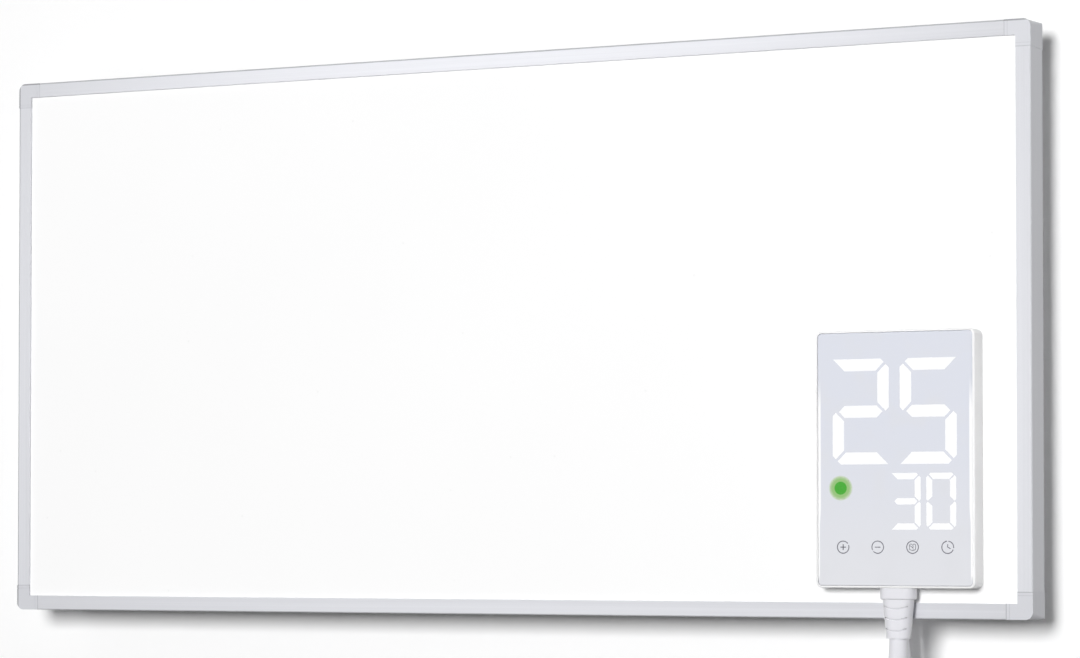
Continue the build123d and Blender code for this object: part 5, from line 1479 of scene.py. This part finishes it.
class Panel:
    """The heating panel: its frame, sheets, heater, fixings and terminal box.

    Attributes:
        legs: for each leg of the frame its tone, which paints in light and shade as lighter and darker copies
            of one silver, how bright its ends are, and its direction.
        corners: for each corner of the frame its tone, which paints in light and shade as lighter and darker
            copies of one grey, and how dark its joints are.
        own: the finishes of the frame's legs and corners by node.
        slots: the panel's other finishes by material slot.
    """

    # painted light and shade: one silver made lighter for the top leg and darker for the others, as the light
    # falls on them
    legs: ClassVar[dict[str, tuple[float, float, Run]]] = {
        "frame_top": (1.13, 0.78, Run.ACROSS),
        "frame_bottom": (0.96, 0.87, Run.ACROSS),
        "frame_left": (0.96, 0.94, Run.UPRIGHT),
        "frame_right": (0.98, 0.95, Run.UPRIGHT),
    }
    # painted light and shade: one grey made lighter for the upper corners and darker for the lower ones
    corners: ClassVar[dict[str, tuple[float, float]]] = {
        "corner_top_left": (1.0, 0.12),
        "corner_top_right": (1.05, 0.35),
        "corner_bottom_left": (0.965, 0.3),
        "corner_bottom_right": (0.97, 0.5),
    }

    def __init__(self) -> None:
        """Mixes the finishes."""
        silver, grey = display(229, 230, 235), display(211, 212, 217)
        outline = PaintedSideShade()
        self.own: dict[str, Finish] = {}
        for node, (tone, ends, run) in self.legs.items():
            half = outline.half_width if run is Run.ACROSS else outline.half_height
            self.own[node] = Anodised(f"anodised_{node}", shaded(silver, tone), run, half, ends, outline)
        for node, (tone, dirt) in self.corners.items():
            colour = shaded(grey, tone)
            self.own[node] = FrameCorner(node, colour, grain=0.3 * MM, rough=0.42, coat=0.1, dirt=dirt)
        self.slots = by_name(
            PowderCoat("white_plate", (0.955, 0.955, 0.955)),
            PowderCoat("back_sheet", (0.76, 0.77, 0.78), peel=0.9 * MM, gloss=0.5),
            Film("insulating_film", (0.85, 0.62, 0.28)),
            CarbonPrint("carbon_film", (0.05, 0.05, 0.052)),
            PlatedMetal("copper_strip", (0.78, 0.42, 0.28), rough=0.28, stain=(0.35, 0.22, 0.16)),
            Foil("foil", (0.88, 0.88, 0.88)),
            PressedFibre("mineral_board", (0.86, 0.84, 0.76)),
            Moulded("cutout_case", (0.03, 0.03, 0.032), grain=0.3 * MM, rough=0.45),
            SoftPolymer("wire_insulation", (0.6, 0.08, 0.05), sheen=0.1, rough=0.45),
            PlatedMetal("plated_fixings", (0.72, 0.73, 0.76), rough=0.28),
            ZincSheet("galvanised_steel", (0.62, 0.64, 0.66)),
            Moulded("box_plastic", display(232, 233, 234), grain=0.5 * MM, rough=0.55),
            Moulded("block_plastic", (0.74, 0.74, 0.68), grain=0.4 * MM, rough=0.5),
        )

    def build(self) -> None:
        """Adds what the solids lack."""
        RivetMandrels(self.slots["plated_fixings"]).build()


class Controller:
    """The touch controller with its display, its key symbols and its lead.

    Attributes:
        ink: the finish of the key symbols.
        slots: the controller's other finishes by material slot.
    """

    def __init__(self) -> None:
        """Mixes the finishes."""
        low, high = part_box("controller_glass")
        lens_low, lens_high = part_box("indicator_lens")
        pilot = (lens_low + lens_high) / 2
        soft_white = display(227, 227, 232)
        self.ink = PrintedInk("key_ink", display(118, 118, 126))
        self.slots = by_name(
            Moulded("controller_plastic", (0.93, 0.93, 0.935), grain=0.25 * MM, rough=0.3, coat=0.35),
            TouchGlass(
                "touch_glass",
                display(216, 219, 229),
                foot=display(221, 222, 227),
                low=low,
                high=high,
                pilot=pilot,
                pilot_radius=(lens_high.x - lens_low.x) / 2,
                pilot_tint=display(192, 208, 178),
            ),
            LitSegments("lit_segments", WHITE),
            PilotLight(
                "pilot_green",
                display(54, 170, 20),
                ring=display(150, 196, 120),
                rim=display(190, 209, 174),
                centre=pilot,
            ),
            Moulded("guide_plastic", (0.88, 0.88, 0.87), grain=0.6 * MM, rough=0.4),
            PressedFibre("foam", (0.06, 0.06, 0.065), fleck=(0.2, 0.2, 0.21), fibre=0.4 * MM),
            CircuitBoard("circuit_board", (0.02, 0.14, 0.05)),
            Moulded("component_body", (0.025, 0.025, 0.028), grain=0.25 * MM, rough=0.5),
            PlatedMetal("bare_aluminium", (0.8, 0.8, 0.81), rough=0.35),
            PlatedMetal("magnet", (0.66, 0.64, 0.6), rough=0.16, stain=(0.5, 0.47, 0.4)),
            SoftPolymer("core_insulation", (0.3, 0.14, 0.06), sheen=0.1, rough=0.45),
            SoftPolymer("grommet_rubber", soft_white, sheen=1.0, rough=0.4),
            SoftPolymer("cord_sheath", soft_white, sheen=1.0, rough=0.4),
        )

    def build(self) -> None:
        """Adds what the solids lack."""
        KeySymbols(self.ink).build()
        Lead(self.slots["cord_sheath"]).build()


def dress_nodes(frame: dict[str, Any], panel: Panel, controller: Controller) -> None:
    """Gives every solid the finish of its material slot, and each leg and corner of the frame its own.

    Args:
        frame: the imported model, as loaded.
        panel, controller: the two that hold the finishes.
    """
    finishes = {**panel.slots, **controller.slots}
    for entry in frame["record"]["subparts"]:
        name = entry["node"]
        finish = panel.own.get(name) or finishes[entry["material_slot"]]
        finish.dress(frame["nodes"][name])


def main() -> None:
    """Dresses the frame, adds the missing pieces and sets up the room and the camera."""
    logging.basicConfig(level=logging.INFO, format="%(name)s: %(message)s")
    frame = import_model()
    for plain in list(bpy.data.materials):
        bpy.data.materials.remove(plain)
    bpy.context.scene.view_settings.view_transform = "Standard"
    Viewpoint().build()
    Studio().build()
    panel, controller = Panel(), Controller()
    dress_nodes(frame, panel, controller)
    for part in (panel, controller):
        part.build()
        LOG.info("built the %s", type(part).__name__.lower())


if __name__ == "__main__":
    main()
